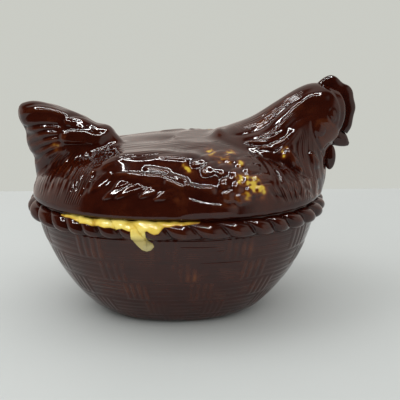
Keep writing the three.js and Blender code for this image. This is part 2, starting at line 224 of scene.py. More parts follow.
def glaze_group():
    """Thinness, plus a wave over the fine strands of the clay, plus two noises, picks a colour on one
    ramp. The wave is the sine of the strand's phase times its depth. Roughness and ripple are noises of
    their own."""
    group = bpy.data.node_groups.new("BreakingGlaze", "ShaderNodeTree")
    for side, kind, names in (("INPUT", "NodeSocketFloat", ("Thinness", "Strand", "Strand Depth")),
                              ("OUTPUT", "NodeSocketColor", ("Color",)),
                              ("OUTPUT", "NodeSocketFloat", ("Roughness", "Ripple", "Streak"))):
        for name in names:
            group.interface.new_socket(name=name, in_out=side, socket_type=kind)
    add, link, worked_out = named_nodes(group)
    inside, outside = add("NodeGroupInput"), add("NodeGroupOutput")
    streak = worked_out("MULTIPLY", worked_out("SINE", inside.outputs["Strand"]), inside.outputs["Strand Depth"])
    link(streak, outside.inputs["Streak"])

    mottle = add("ShaderNodeTexNoise", Scale=95.0, Detail=5.0, Roughness=0.6)
    drift = add("ShaderNodeTexNoise", Scale=22.0, Detail=2.0)
    ripple = add("ShaderNodeTexNoise", Scale=130.0, Detail=1.0)
    place = add("ShaderNodeTexCoord")
    for texture in (mottle, drift, ripple):
        link(place.outputs["Object"], texture.inputs["Vector"])
    thinness = worked_out("MULTIPLY_ADD", streak, streak_share, inside.outputs["Thinness"])
    centred = worked_out("SUBTRACT", mottle.outputs["Fac"], 0.5)
    thinness = worked_out("MULTIPLY_ADD", centred, mottle_share, thinness)
    thinness = worked_out("MULTIPLY_ADD", drift.outputs["Fac"], drift_share, thinness)
    ramp = add("ShaderNodeValToRGB")
    set_stops(ramp, (
        (0.0, (0.0150, 0.0016, 0.0007)),
        (0.22, (0.033, 0.0046, 0.0016)),
        (0.42, (0.064, 0.0135, 0.0038)),
        (0.62, (0.130, 0.036, 0.0060)),
        (0.80, (0.30, 0.155, 0.016)),
        (1.0, (0.58, 0.40, 0.045)),
    ))
    link(thinness, ramp.inputs["Fac"])
    link(ramp.outputs["Color"], outside.inputs["Color"])
    rough = add("ShaderNodeMapRange")
    rough.inputs["To Min"].default_value, rough.inputs["To Max"].default_value = 0.03, 0.10
    link(drift.outputs["Fac"], rough.inputs["Value"])
    link(rough.outputs[0], outside.inputs["Roughness"])
    link(ripple.outputs["Fac"], outside.inputs["Ripple"])
    return group


breaking_glaze = glaze_group()
ripple_height, streak_height = 0.12, 1.0  # millimetres for a full step of the group's heights


def glazed(name):
    """A glossy coat of the brown glaze. The piece's own attributes say how thin it lies and where strands
    run."""
    material = bpy.data.materials.new(name)
    material.use_nodes = True
    add, link, _ = named_nodes(material.node_tree)
    shader = material.node_tree.nodes["Principled BSDF"]
    shader.inputs["IOR"].default_value = 1.5
    coat = add("ShaderNodeGroup", node_tree=breaking_glaze)
    for socket, attribute in (("Thinness", "thinness"), ("Strand", "strand"), ("Strand Depth", "strand_depth")):
        link(add("ShaderNodeAttribute", attribute_name=attribute).outputs["Fac"], coat.inputs[socket])
    ripple = add("ShaderNodeBump", Strength=1.0, Distance=ripple_height * MM)
    link(coat.outputs["Ripple"], ripple.inputs["Height"])
    streaks = add("ShaderNodeBump", Strength=1.0, Distance=streak_height * MM)
    link(coat.outputs["Streak"], streaks.inputs["Height"])
    link(ripple.outputs["Normal"], streaks.inputs["Normal"])
    link(coat.outputs["Color"], shader.inputs["Base Color"])
    link(coat.outputs["Roughness"], shader.inputs["Roughness"])
    link(streaks.outputs["Normal"], shader.inputs["Normal"])
    return material


basket_glaze = glazed("brown_glaze_basket")
hen_glaze = glazed("brown_glaze_hen")


def mesh_of(name, points, face_sets):
    """A mesh from points in millimetres and sets of faces."""
    mesh = bpy.data.meshes.new(name)
    mesh.from_pydata((points * MM).tolist(), [], [face for faces in face_sets for face in faces.tolist()])
    return mesh


def put(name, surface, material, body, nodes, slot="brown_glaze", **fields):
    """A smooth shaded piece from its points in millimetres and its sets of faces. It rides on a body and
    stands for CAD nodes. Each further field becomes an attribute, and is nothing on the points that it
    leaves out at the end."""
    points, face_sets = surface
    mesh = mesh_of(name, points + [middle_x, 0, 0], face_sets)
    mesh.materials.append(material)
    mesh.polygons.foreach_set("use_smooth", np.ones(len(mesh.polygons), bool))
    for attribute, values in fields.items():
        padded = np.zeros(len(points), np.float32)
        padded[:values.size] = values.ravel()
        mesh.attributes.new(attribute, "FLOAT", "POINT").data.foreach_set("value", padded)
    mesh.update()
    piece = bpy.data.objects.new(name, mesh)
    bpy.context.scene.collection.objects.link(piece)
    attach(piece, body)
    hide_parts(*nodes)


# ---------------------------------------------------------------------------
# Basket dish: slip-cast in a mould carved as a coiled straw basket. Bands of
# four coils lie one on the other, and short blocks of upright stitches bind
# them, each band's blocks a step further round than those of the band above.
oval_power = 2.3
wall_half = np.array([81.5, 62.5])
foot_half = np.array([42.0, 37.0])
upright_height, land_height = 58.0, 69.0
flare_power, foot_power = 1.4, 1.55
wall_thick, floor_thick, foot_ring, foot_recess, lip_round = 6.0, 6.0, 6.0, 2.0, 0.8
opening_half = wall_half - wall_thick
inside_floor = foot_recess + floor_thick

band_count, coils_in_band, blocks_round, stitches_in_block = 5, 4, 11, 10
first_block, block_stagger = 0.35, 0.27  # in blocks: where they start, and each band's step on from the last
block_inner, block_outer = 0.36, 0.46  # where a block's stitches end, as shares of half a step
coil_depth, stitch_depth, furrow_depth, furrow_half = 0.34, 0.55, 0.16, 0.5
coil_round, stitch_round, stitch_middle = 0.6, 0.7, 0.55  # powers that round the ribs; the stitches' mean
scrape_apart, scrape_depth = 1.3, 0.05  # the straw's own fine lines
amber_spots = (  # the glaze's thin places in the photograph: middle, reach across and down, how thin
    (216, 258, 2.5, 6, 0.42), (193, 278, 12, 5, 0.28), (248, 248, 10, 5, 0.30), (165, 266, 14, 4, 0.18),
    (107, 241, 6, 3, 0.2), (225, 284, 18, 2, 0.16),
)


def oval(half, turn):
    """A point of the oval |x/a|^n + |y/b|^n = 1 at each turn from 0 to 1, starting at the breast."""
    angle = 2 * np.pi * np.asarray(turn)
    c, s = np.cos(angle), np.sin(angle)
    bend = 2 / oval_power
    return np.stack([half[0] * np.sign(c) * np.abs(c) ** bend, half[1] * np.sign(s) * np.abs(s) ** bend], -1)


def level_loop(half, turns, height):
    """The oval of a half size as a loop of points at one height."""
    return np.column_stack([oval(half, turns), np.full(len(turns), height)])


fine_turns = np.linspace(0, 1, 2881)
fine_line = oval(wall_half, fine_turns)
fine_reach = np.concatenate([[0], np.cumsum(np.linalg.norm(np.diff(fine_line, axis=0), axis=1))])
rim_length = fine_reach[-1]


def turn_at(reach):
    """The turn at which the wall's oval has run a given length from the breast."""
    return np.interp(np.asarray(reach) % rim_length, fine_reach, fine_turns)


def wall_point(reach):
    """The wall's oval at a length along it, and the level direction that points out of it there."""
    spot = oval(wall_half, turn_at(reach))
    out = np.sign(spot) * np.abs(spot / wall_half) ** (oval_power - 1) / wall_half
    return spot, out / np.linalg.norm(out, axis=-1, keepdims=True)


def basket_half(foot, wall, height, floor):
    """The basket's half size at a height: it swells from the foot, fast at first, up to the upright wall."""
    below = np.clip((upright_height - height) / (upright_height - floor), 0, 1)
    return foot + (wall - foot) * (1 - below ** flare_power)[..., None] ** (1 / foot_power)


def soft_step(value, low, high):
    """A smooth rise from 0 at low to 1 at high."""
    part = np.clip((value - low) / (high - low), 0, 1)
    return part * part * (3 - 2 * part)


noise_table = np.random.default_rng(11).random((32, 32, 32))


def noise(x, y, z=0):
    """Smooth noise from -1 to 1: random values on a lattice of side 1, eased between its eight corners."""
    points = np.stack(np.broadcast_arrays(x, y, z), -1).astype(float)
    cell = np.floor(points).astype(int)
    part = points - cell
    part = part * part * (3 - 2 * part)
    total = 0.0
    for corner in np.ndindex(2, 2, 2):
        weight = np.prod(np.where(corner, part, 1 - part), axis=-1)
        at = (cell + corner) % len(noise_table)
        total = total + weight * noise_table[at[..., 0], at[..., 1], at[..., 2]]
    return 2 * total - 1


def ring_faces(rows, cols):
    """Four-sided faces of a grid of rows by cols whose columns close round."""
    row, col = np.meshgrid(np.arange(rows - 1) * cols, np.arange(cols), indexing="ij")
    after = (col + 1) % cols
    return np.stack([row + col, row + after, row + cols + after, row + cols + col], -1).reshape(-1, 4)


def capped_loops(loops, low, high):
    """A closed skin over a stack of loops, with a point in the middle of each end: its points and sets of
    faces."""
    rows, cols = loops.shape[:2]
    col = np.arange(cols)
    after = (col + 1) % cols
    last = (rows - 1) * cols
    low_end = np.stack([np.full(cols, rows * cols), after, col], -1)
    high_end = np.stack([np.full(cols, rows * cols + 1), last + col, last + after], -1)
    return np.concatenate([loops.reshape(-1, 3), [low, high]]), [ring_faces(rows, cols), low_end, high_end]


def seen_at(points):
    """Where points show in the photograph: their distances right and down from the camera's axis, over their
    distance ahead of it, times the focal length."""
    way = points - camera_place
    ahead = way @ look
    return np.stack([frame_side / 2 + way @ right / ahead * focal,
                     frame_side / 2 - way @ up / ahead * focal], -1)


def bell(far, wide):
    """A bell: 1 in the middle, less by the square of the distance over its width."""
    return np.exp(-(far / wide) ** 2)


def weave(reach, path):
    """Height of the moulded weave at a length round the wall and a length up it. Coils are rounded ribs
    that run round, stitches are rounded ribs that run up, and a shallow furrow parts the bands."""
    band_height = wall_path / band_count
    band = np.floor(path / band_height)
    up_band = path / band_height - band
    from_seam = np.minimum(up_band, 1 - up_band)
    step = reach / rim_length * blocks_round + block_stagger * band + first_block
    in_step = step - np.floor(step)
    block = 1 - soft_step(np.abs(in_step - 0.5) * 2, block_inner, block_outer)
    wobble = noise(reach * 0.05, path * 0.2)
    coils = np.abs(np.sin(np.pi * (up_band * coils_in_band + 0.15 * wobble))) ** coil_round
    stitches = np.abs(np.sin(np.pi * in_step * stitches_in_block)) ** stitch_round
    worn = np.clip(0.80 + 0.45 * noise(reach * 0.035, path * 0.06, 9), 0.25, 1)
    plain = coil_depth * (coils - 1)
    blocks = stitch_depth * (stitches - stitch_middle) * soft_step(from_seam, 0.02, 0.14)
    furrow = furrow_depth * bell(from_seam * band_height, furrow_half)
    return ((1 - block) * plain + block * blocks - furrow) * worn, block * worn


basket_columns, outside_rows = 650, 104
basket_reach = np.arange(basket_columns) / basket_columns * rim_length
path_heights = upright_height * np.linspace(0, 1, 400) ** 1.5
path_line = basket_half(foot_half, wall_half, path_heights, 0.0)
path_reach = np.concatenate([[0], np.cumsum(np.hypot(np.diff(path_line[:, 0]), np.diff(path_heights)))])
wall_path = path_reach[-1]

# From the middle of the underside out over the foot ring, up the wall, over the land, and down the inside.
recess = foot_ring + foot_recess
rings = [(np.maximum(foot_half - less, 0.2), height) for less, height in (
    (40.5, foot_recess), (30.0, foot_recess), (recess + 1, foot_recess), (recess, foot_recess - 0.4),
    (foot_ring, 0.3), (foot_ring - 1, 0.0), (0.9, 0.0), (0.2, 0.35))]
outside = slice(len(rings), len(rings) + outside_rows)
outside_path = np.linspace(1.1, wall_path, outside_rows)
outside_heights = np.interp(outside_path, path_reach, path_heights)
rings += zip(basket_half(foot_half, wall_half, outside_heights, 0.0), outside_heights)
land_edge = land_height - lip_round
rings += [(wall_half, 62.0), (wall_half, land_edge), (wall_half - lip_round, land_height),
          (wall_half - 3, land_height), (opening_half + lip_round, land_height),
          (opening_half, land_edge), (opening_half, 63.0)]
inside_heights = inside_floor + (upright_height - inside_floor) * np.linspace(1, 0, 26) ** 1.5
rings += zip(basket_half(foot_half, opening_half, inside_heights, inside_floor), inside_heights)
rings += [(foot_half * share, inside_floor) for share in (0.9, 0.6, 0.3, 0.005)]
basket_turns = turn_at(basket_reach)
basket_loops = np.stack([level_loop(half, basket_turns, height) for half, height in rings])

carved = basket_loops[outside]
lift, stitched = weave(basket_reach, outside_path[:, None])
fade = soft_step(outside_path, 1.5, 6)[:, None]
outward = np.cross(np.roll(carved, -1, 1) - np.roll(carved, 1, 1), np.gradient(carved, axis=0))
outward /= np.linalg.norm(outward, axis=-1, keepdims=True)
basket_loops[outside] = carved + outward * (lift * fade)[..., None]


def on_outside(values):
    """A field over all the basket's points that is nothing away from its outside."""
    field = np.zeros(basket_loops.shape[:2])
    field[outside] = values
    return field


basket_seen = seen_at(basket_loops[outside])
rubbed = sum(strength * bell(basket_seen[..., 0] - u, wide) * bell(basket_seen[..., 1] - v, tall)
             for u, v, wide, tall, strength in amber_spots)
basket_thin = 0.12 + fade * (0.3 * stitched * np.clip(lift + 0.05, 0, 1) + 0.12 * np.clip(lift, -1, 1))
basket_thin += rubbed * (0.12 + 3.4 * np.clip(lift + 0.02, 0, 1))
bent = 1.5 * noise(basket_reach * 0.06, outside_path[:, None] * 0.15, 21)
uneven = 0.5 + 0.6 * noise(basket_reach * 0.05, outside_path[:, None] * 0.4, 31)
put("nest_basket", capped_loops(basket_loops, [0, 0, foot_recess], [0, 0, inside_floor]),
    basket_glaze, "nest", ["nest_bowl"], thinness=on_outside(basket_thin),
    strand=on_outside(2 * np.pi * outside_path[:, None] / scrape_apart + bent),
    strand_depth=on_outside(scrape_depth * fade * (1 - 0.8 * stitched) * uneven))


# ---------------------------------------------------------------------------
# Rope rim: a half-round moulding, part of the same casting, carved as a twist
# of thick strands. The strands were cut by hand and are wider at the front.
rope_reach, rope_height, rope_drop, rope_sunk = 6.8, 10.0, 6.0, 0.4
groove_share, groove_height_share, twist_share, twist_bow = 0.56, 0.24, 0.74, 0.10
strand_lean, strand_round, rope_fullness = 0.85, 0.62, 0.85  # powers: lopsided, rounded, a full half round
near_grooves = np.array([  # lengths round the rim from the breast
    250, 264.5, 277.8, 288.6, 297.8, 306.8, 317.5, 329, 342.5, 357.5, 373.5, 388.5, 400.5, 410.5, 422.5, 434.5])
far_strands = 23
rope_columns, rope_rows = 1160, 30


def strand_number(reach):
    """Which strand lies at a length round the rim: the measured grooves in front, and even strands behind."""
    first, last = near_grooves[0], near_grooves[-1]
    far_grooves = last + (rim_length - last + first) * np.arange(1, far_strands + 1) / far_strands
    marks = np.concatenate([near_grooves, far_grooves])
    return np.interp((reach - first) % rim_length + first, marks, np.arange(len(marks)))


def rope_swell(reach, down):
    """The rope's swelling at a length round the rim and a share down its half turn: a full arch for each
    strand, pinched in the grooves, which slant by the twist from top to bottom."""
    phase = strand_number(reach) - twist_share * (down - 0.5) - twist_bow * np.sin(np.pi * down)
    part = phase - np.floor(phase)
    arch = np.abs(np.sin(np.pi * part ** strand_lean)) ** strand_round
    return 1 - groove_share * (1 - arch)


def rope_profile(reach, down):
    """How far the rope's surface stands out from the wall, its reach times the swelling times cos, and how
    high above the land, half its height times sin, lower where it is pinched."""
    angle = np.pi * (0.5 - down)
    swell = rope_swell(reach, down)
    tall = rope_height / 2 * (1 - groove_height_share * (1 - swell))
    return rope_reach * swell * np.cos(angle) ** rope_fullness - rope_sunk, tall * np.sin(angle) - rope_drop


def round_rim(reach, ahead, above):
    """Points at lengths round the rim, so far out from the wall and so far above the land."""
    spot, out = wall_point(reach)
    level = spot + out * ahead[..., None]
    return np.concatenate([level, np.broadcast_to((land_height + above)[..., None], level.shape[:-1] + (1,))], -1)


def tube_faces(rows, cols):
    """Faces of a grid of rows by cols that closes round both ways."""
    return ring_faces(rows + 1, cols) % (rows * cols)


rope_round = np.arange(rope_columns) / rope_columns * rim_length
even_down = np.linspace(0, 1, rope_rows)
rope_down = np.clip(0.6 * (1 - np.cos(np.pi * even_down)) / 2 + 0.4 * even_down, 0, 1)[:, None]
rope_front = round_rim(rope_round, *rope_profile(rope_round, rope_down))
rope_back = round_rim(rope_round, np.full((1, rope_columns), -1.5), np.array([[-rope_drop]]))  # inside the wall
rope_faces = tube_faces(rope_rows + 1, rope_columns)[:, ::-1]
put("rope_rim_twist", (np.concatenate([rope_front, rope_back]).reshape(-1, 3), [rope_faces]),
    basket_glaze, "nest", ["rope_rim"],
    thinness=0.05 + 0.10 * soft_step(rope_swell(rope_round, rope_down), 0.86, 1))


# ---------------------------------------------------------------------------
# Run of yellow glaze: a second glaze that was brushed on the rim, ran over the
# rope's strands and dripped once down the wall, where it stopped in a bead.
run_outline = [  # points of the photograph's frame
    (60.5, 213), (66, 213.3), (70, 215), (75, 214.6), (84, 216.5), (96, 217.8), (110, 219), (125, 220),
    (140, 220.6), (160, 221), (180, 221), (201, 221.6), (199, 224), (190, 225), (183, 226.3), (176, 226),
    (170, 227.5), (164, 227.6), (161.5, 231), (158.5, 234.3), (154, 235.2), (150, 233.5), (147, 231.5),
    (141, 233), (134, 232.5), (128, 231.5), (122, 229), (116, 229.6), (110, 228), (104, 228.2), (98, 226),
    (92, 226.3), (86, 224.2), (80, 223.5), (74, 220), (70, 218.2), (65, 217.4), (61, 215.5),
]
drip_outline = [
    (130.5, 229), (138, 229.5), (145.5, 230), (145, 233), (144.4, 236), (146, 239.2), (149.5, 241.6),
    (153, 243.6), (154.3, 246.6), (151.4, 250.2), (146.6, 251.4), (142, 250), (138.4, 246.8),
    (134.4, 242.4), (131.4, 238.4), (130.3, 233.5),
]
band_columns, drip_columns, run_rows = 300, 90, 48
run_from, run_to, run_path_end, wall_below = 284, 366, 24.0, 30.0
band_thick, drip_thick, bead_thick = 0.75, 0.8, 1.0
edge_round, run_lift, run_sunk = 1.3, 0.03, 0.35
mm_per_point = 0.6  # what a point of the frame is on the rim
band_shares = ([60, 75, 150, 165, 201], [0.75, 1.1, 1.15, 0.7, 0.35])  # points across, and thickness there


def inside_of(spots, outline):
    """How deep each spot lies inside a closed outline: its distance to the line, less than 0 outside."""
    ring = np.asarray(outline, float)
    after = np.roll(ring, -1, 0)
    step = after - ring
    gap = spots[..., None, :] - ring
    part = np.clip((gap * step).sum(-1) / (step ** 2).sum(-1), 0, 1)
    far = np.linalg.norm(gap - part[..., None] * step, axis=-1).min(-1)
    high = spots[..., None, 1]
    slope = step[:, 0] / np.where(step[:, 1] == 0, 1e-9, step[:, 1])
    crossing = (ring[:, 1] > high) != (after[:, 1] > high)
    crossing &= spots[..., None, 0] < ring[:, 0] + slope * (high - ring[:, 1])
    return np.where(crossing.sum(-1) % 2 == 1, far, -far)


def run_line(reach):
    """The path down the rim at each length round it: over the rope, then down the wall, the corner under
    the rope filled in. Gives the path's length so far, its place out and up, and its outward direction."""
    ahead, rise = rope_profile(reach, np.linspace(0.04, 0.93, 90)[:, None])
    wall_rise = np.linspace(rise[-1], -wall_below, 80)[1:]
    wall_ahead = basket_half(foot_half, wall_half, land_height + wall_rise, 0.0)[..., 1] - wall_half[1]
    ahead, rise = np.concatenate([ahead, wall_ahead]), np.concatenate([rise, wall_rise])
    for _ in range(14):
        for line in (ahead, rise):
            line[1:-1] = 0.5 * line[1:-1] + 0.25 * (line[2:] + line[:-2])
    run = np.cumsum(np.hypot(np.diff(ahead, axis=0, prepend=ahead[:1]),
                             np.diff(rise, axis=0, prepend=rise[:1])), 0)
    d_ahead, d_rise = np.gradient(ahead, axis=0), np.gradient(rise, axis=0)
    size = np.hypot(d_ahead, d_rise)
    return run, ahead, rise, -d_rise / size, d_ahead / size


def along_run(lines, where):
    """The place and direction at given path lengths of each column."""
    run, columns = lines[0], range(where.shape[1])
    return [np.stack([np.interp(where[:, c], run[:, c], line[:, c]) for c in columns], 1) for line in lines[1:]]


def run_skin(reach, place, off):
    """Points of the rim at a distance off its surface."""
    ahead, rise, out_ahead, out_rise = place
    return round_rim(reach, ahead + out_ahead * off, rise + out_rise * off)


def run_shell(outline, columns, thickness):
    """A sheet of glaze inside an outline of the photograph: for each column, the path from where it enters
    the outline to where it leaves, as thick as asked, with a rounded edge. Gives the surface and the
    glaze's depth."""
    reach = np.linspace(run_from, run_to, 700)
    steps = np.repeat(np.linspace(0, run_path_end, 500)[:, None], len(reach), 1)
    covered = inside_of(seen_at(run_skin(reach, along_run(run_line(reach), steps), 0)), outline) > 0
    hit = np.flatnonzero(covered.any(0))
    first, last = reach[hit[0]], reach[hit[-1]]
    top = steps[covered.argmax(0), 0][hit]
    bottom = steps[len(steps) - 1 - covered[::-1].argmax(0), 0][hit]

    closer = np.cos(np.pi * np.linspace(0.05, 0.95, columns)) / math.cos(0.05 * np.pi)  # closer at the ends
    columns_at = (first + last) / 2 - (last - first) / 2 * closer
    top, bottom = np.interp(columns_at, reach[hit], top), np.interp(columns_at, reach[hit], bottom)
    where = top + (bottom - top) * ((1 - np.cos(np.linspace(0, np.pi, run_rows))) / 2)[:, None]
    place = along_run(run_line(columns_at), where)
    spots = seen_at(run_skin(columns_at, place, 0))
    from_edge = np.clip(inside_of(spots, outline) * mm_per_point / edge_round, 0, 1)
    thick = np.sqrt(1 - (1 - from_edge) ** 2) * thickness(spots, columns_at, where)

    outer, inner = run_skin(columns_at, place, thick + run_lift), run_skin(columns_at, place, -run_sunk)
    points = np.swapaxes(np.concatenate([outer, inner[::-1]]), 0, 1).reshape(-1, 3)
    around = 2 * run_rows
    ends = np.stack([np.arange(around), columns * around - 1 - np.arange(around)])
    depth = np.swapaxes(np.concatenate([thick, thick[::-1]]), 0, 1).ravel()
    return (points, [ring_faces(columns, around)[:, ::-1], ends]), depth


def joined(surfaces):
    """Several surfaces as one: their points laid one after the other, and their faces counted on."""
    starts = np.cumsum([0] + [len(points) for points, _ in surfaces])
    face_sets = [faces + start for (_, sets), start in zip(surfaces, starts) for faces in sets]
    return np.concatenate([points for points, _ in surfaces]), face_sets


def band_depth(spots, reach, where):
    """The brushed band: uneven, thinner to the right, and thicker in the two lobes."""
    uneven = 1 + 0.45 * noise(reach * 0.33, where * 0.35, 5)
    return band_thick * uneven * np.interp(spots[..., 0], *band_shares)


def drip_depth(spots, reach, where):
    """The drip: a thin stem that ends in a bead."""
    bead = bell(spots[..., 0] - 148.5, 6.0) * bell(spots[..., 1] - 246.5, 4.6)
    return drip_thick + bead_thick * bead + 0.25 * noise(reach * 0.3, where * 0.3, 8)


band, in_band = run_shell(run_outline, band_columns, band_depth)
drip, in_drip = run_shell(drip_outline, drip_columns, drip_depth)
band_seen, drip_seen = seen_at(band[0]), seen_at(drip[0])

# The band stays opaque where the drip leaves it, and the drip pools towards its bead.
over_drip = np.exp(-(((band_seen[:, 0] - 137.5) / 8) ** 2 + ((band_seen[:, 1] - 232) / 5) ** 2) ** 2)
in_band = np.maximum(in_band, 1.15 * over_drip)
in_drip = np.maximum(in_drip, 1.0) + 1.2 * soft_step(drip_seen[:, 1], 232, 246)

yellow_glaze = bpy.data.materials.new("yellow_glaze")
yellow_glaze.use_nodes = True
add, link, worked_out = named_nodes(yellow_glaze.node_tree)
yellow_shader = yellow_glaze.node_tree.nodes["Principled BSDF"]
yellow_shader.inputs["Roughness"].default_value = 0.09
yellow_shader.inputs["IOR"].default_value = 1.5
yellow_mottle = add("ShaderNodeTexNoise", Scale=260.0, Detail=4.0)
link(add("ShaderNodeTexCoord").outputs["Object"], yellow_mottle.inputs["Vector"])
yellow_depth = add("ShaderNodeAttribute", attribute_name="thinness")
deepest = 3.0
yellow_mix = worked_out("MULTIPLY_ADD", yellow_mottle.outputs["Fac"], 0.5, yellow_depth.outputs["Fac"])
yellow_ramp = add("ShaderNodeValToRGB")
set_stops(yellow_ramp, (  # from a brown film to opaque yellow, and to olive where it pools
    (0.3 / deepest, (0.18, 0.055, 0.006)),
    (0.6 / deepest, (0.58, 0.34, 0.035)),
    (0.95 / deepest, (0.82, 0.60, 0.10)),
    (1.5 / deepest, (0.90, 0.74, 0.20)),
    (2.0 / deepest, (0.60, 0.48, 0.15)),
    (2.8 / deepest, (0.50, 0.43, 0.19)),
))
link(worked_out("DIVIDE", yellow_mix, deepest), yellow_ramp.inputs["Fac"])
link(yellow_ramp.outputs["Color"], yellow_shader.inputs["Base Color"])
put("yellow_glaze_run", joined([band, drip]), yellow_glaze, "nest", ["rim_glaze_run"], slot="yellow_glaze",
    thinness=np.concatenate([in_band, in_drip]))


# ---------------------------------------------------------------------------
# Hen lid: one slip casting, so its back, neck, head, tail and wings are one
# skin without joints. A maker's clay masses are laid together and blended,
# then every feather is carved in where the photograph shows it.
lid_half = wall_half + 3
back_rise, back_slope, edge_bevel = 32.5, 0.08, 2.0
neck_reach, neck_rise, neck_half = 99.6, 63.5, 44.0
neck_rails = np.array([  # rear and fore points (shares of reach and rise), share of the half width, going up
    [0.120, 0.300, 0.862, -0.047, 1.0],
    [0.200, 0.535, 0.880, 0.079, 0.82],
    [0.301, 0.600, 0.889, 0.173, 0.66],
    [0.442, 0.688, 0.888, 0.283, 0.51],
    [0.582, 0.827, 0.903, 0.378, 0.386],
    [0.703, 0.945, 0.934, 0.457, 0.33],
    [0.793, 0.997, 0.962, 0.535, 0.318],
    [0.884, 0.985, 0.984, 0.646, 0.273],
    [0.950, 0.925, 0.992, 0.772, 0.16],
])
tail_reach, tail_rise, tail_half = 91.8, 53.6, 13.0
tail_outline = np.array([  # shares of reach and rise
    [-0.910, 0.02], [-0.900, 0.10], [-0.905, 0.19], [-0.913, 0.31], [-0.914, 0.40], [-0.938, 0.47],
    [-0.954, 0.57], [-0.958, 0.69], [-0.990, 0.80], [-1.0, 0.88], [-0.985, 0.966], [-0.928, 1.0],
    [-0.871, 0.998], [-0.792, 0.965], [-0.729, 0.922], [-0.666, 0.894], [-0.601, 0.845], [-0.545, 0.785],
    [-0.503, 0.75], [-0.45, 0.74], [-0.415, 0.71], [-0.385, 0.64], [-0.34, 0.56], [-0.28, 0.45],
    [-0.32, 0.22], [-0.55, 0.15], [-0.80, 0.02],
])
tail_root, tail_round = np.array([-0.63, 0.37]), 0.8
clay_step = 0.76  # the side of the lattice's cubes
smooth_rounds, crease_rounds, full_crease = 16, 36, 0.012


def smooth_line(marks, count, closed=False):
    """A curve through the marks: each span is the cubic whose end slopes are half the chord between
    neighbours."""
    marks = np.asarray(marks, float)
    if closed:
        marks = np.vstack([marks[-1], marks, marks[:2]])
    else:
        marks = np.vstack([2 * marks[0] - marks[1], marks, 2 * marks[-1] - marks[-2]])
    spans = len(marks) - 3
    place = np.linspace(0, spans, count, endpoint=not closed)
    span = np.minimum(place.astype(int), spans - 1)
    part = (place - span)[:, None]
    a, b, c, d = (marks[span + k] for k in range(4))
    bend, twist = 2 * a - 5 * b + 4 * c - d, 3 * b - a - 3 * c + d
    return 0.5 * (2 * b + (c - a) * part + bend * part ** 2 + twist * part ** 3)


def leaning_ovals(rails, half, cols):
    """A stack of ovals, each from its rear point to its fore point, and as wide as its share of a half
    width. The rails give those points in shares of the neck's reach and rise."""
    place = rails * [neck_reach, neck_rise, neck_reach, neck_rise, half]
    zero = np.zeros(len(rails))
    rear = np.column_stack([place[:, 0], zero, land_height + place[:, 1]])
    fore = np.column_stack([place[:, 2], zero, land_height + place[:, 3]])
    angle = np.linspace(0, 2 * np.pi, cols, endpoint=False)
    loops = ((rear + fore) / 2)[:, None] + ((fore - rear) / 2)[:, None] * np.cos(angle)[None, :, None]
    loops[:, :, 1] += place[:, 4:] * np.sin(angle)
    return loops


# The back: a low oval dome, a little higher towards the breast.
turns = np.linspace(0, 1, 360, endpoint=False)
dome_loops = []
for lift in np.concatenate([[0, 0.3, 1.0], np.linspace(2.0, back_rise * 0.80, 22),
                            back_rise * (1 - np.linspace(0.2, 0.001, 16))]):
    level = lift / (back_rise * (1 + back_slope * oval(lid_half, turns)[:, 0] / lid_half[0]))
    inset = np.clip(1 - np.clip(level, 0, 0.9999) ** oval_power, 1e-6, 1) ** (1 / oval_power)
    drawn = edge_bevel * (1 - math.sqrt(1 - (1 - min(lift / edge_bevel, 1)) ** 2))
    ring = oval(lid_half - drawn, turns) * inset[:, None]
    dome_loops.append(np.column_stack([ring, np.full(len(turns), land_height + lift)]))
dome = capped_loops(np.array(dome_loops), [0, 0, land_height], [0, 0, land_height + back_rise * 0.999])

# Neck and head: a stack of leaning ovals between the nape and the throat.
neck_loops = leaning_ovals(smooth_line(neck_rails, 90), neck_half, 160)
neck_loops[:, :, 2] = np.maximum(neck_loops[:, :, 2], land_height)
top, below_top = neck_loops[-1].mean(0), neck_loops[-6].mean(0)
neck = capped_loops(neck_loops, neck_loops[0].mean(0), top + (top - below_top) * 0.15)

# Tail: a cushion on the outline of the fan.
outline = smooth_line(tail_outline, 200, closed=True)[::-1]
edge = np.column_stack([outline[:, 0] * tail_reach, np.zeros(len(outline)),
                        land_height + outline[:, 1] * tail_rise])
root = np.array([tail_root[0] * tail_reach, 0, land_height + tail_root[1] * tail_rise])
lean = np.linspace(-np.pi / 2, np.pi / 2, 42)[1:-1]
tail_loops = root + (edge - root)[None] * np.cos(lean)[:, None, None] ** tail_round
tail_loops[:, :, 1] += tail_half * np.sin(lean)[:, None]
tail = capped_loops(tail_loops, root - [0, tail_half, 0], root + [0, tail_half, 0])


def blended(masses, step):
    """The outer skin of clay masses that run into one another, as even four-sided faces of a given size:
    the Remesh modifier walks a lattice of small cubes and keeps what can be reached from outside."""
    mesh = mesh_of("clay", *joined(masses))
    clay = bpy.data.objects.new("clay", mesh)
    bpy.context.scene.collection.objects.link(clay)
    remesh = clay.modifiers.new("remesh", "REMESH")
    remesh.mode, remesh.voxel_size = "VOXEL", step * MM
    solid = clay.evaluated_get(bpy.context.evaluated_depsgraph_get()).to_mesh()
    spots = np.empty(len(solid.vertices) * 3)
    solid.vertices.foreach_get("co", spots)
    corners = np.empty(len(solid.loops), np.int64)
    solid.loops.foreach_get("vertex_index", corners)
    bpy.data.objects.remove(clay)
    bpy.data.meshes.remove(mesh)
    return spots.reshape(-1, 3) / MM, corners.reshape(-1, 4)


skin, quads = blended([dome, neck, tail], clay_step)
edges = np.unique(np.sort(np.concatenate([quads[:, [k, (k + 1) % 4]] for k in range(4)]), 1), axis=0)
neighbour_counts = np.bincount(edges.ravel(), minlength=len(skin))


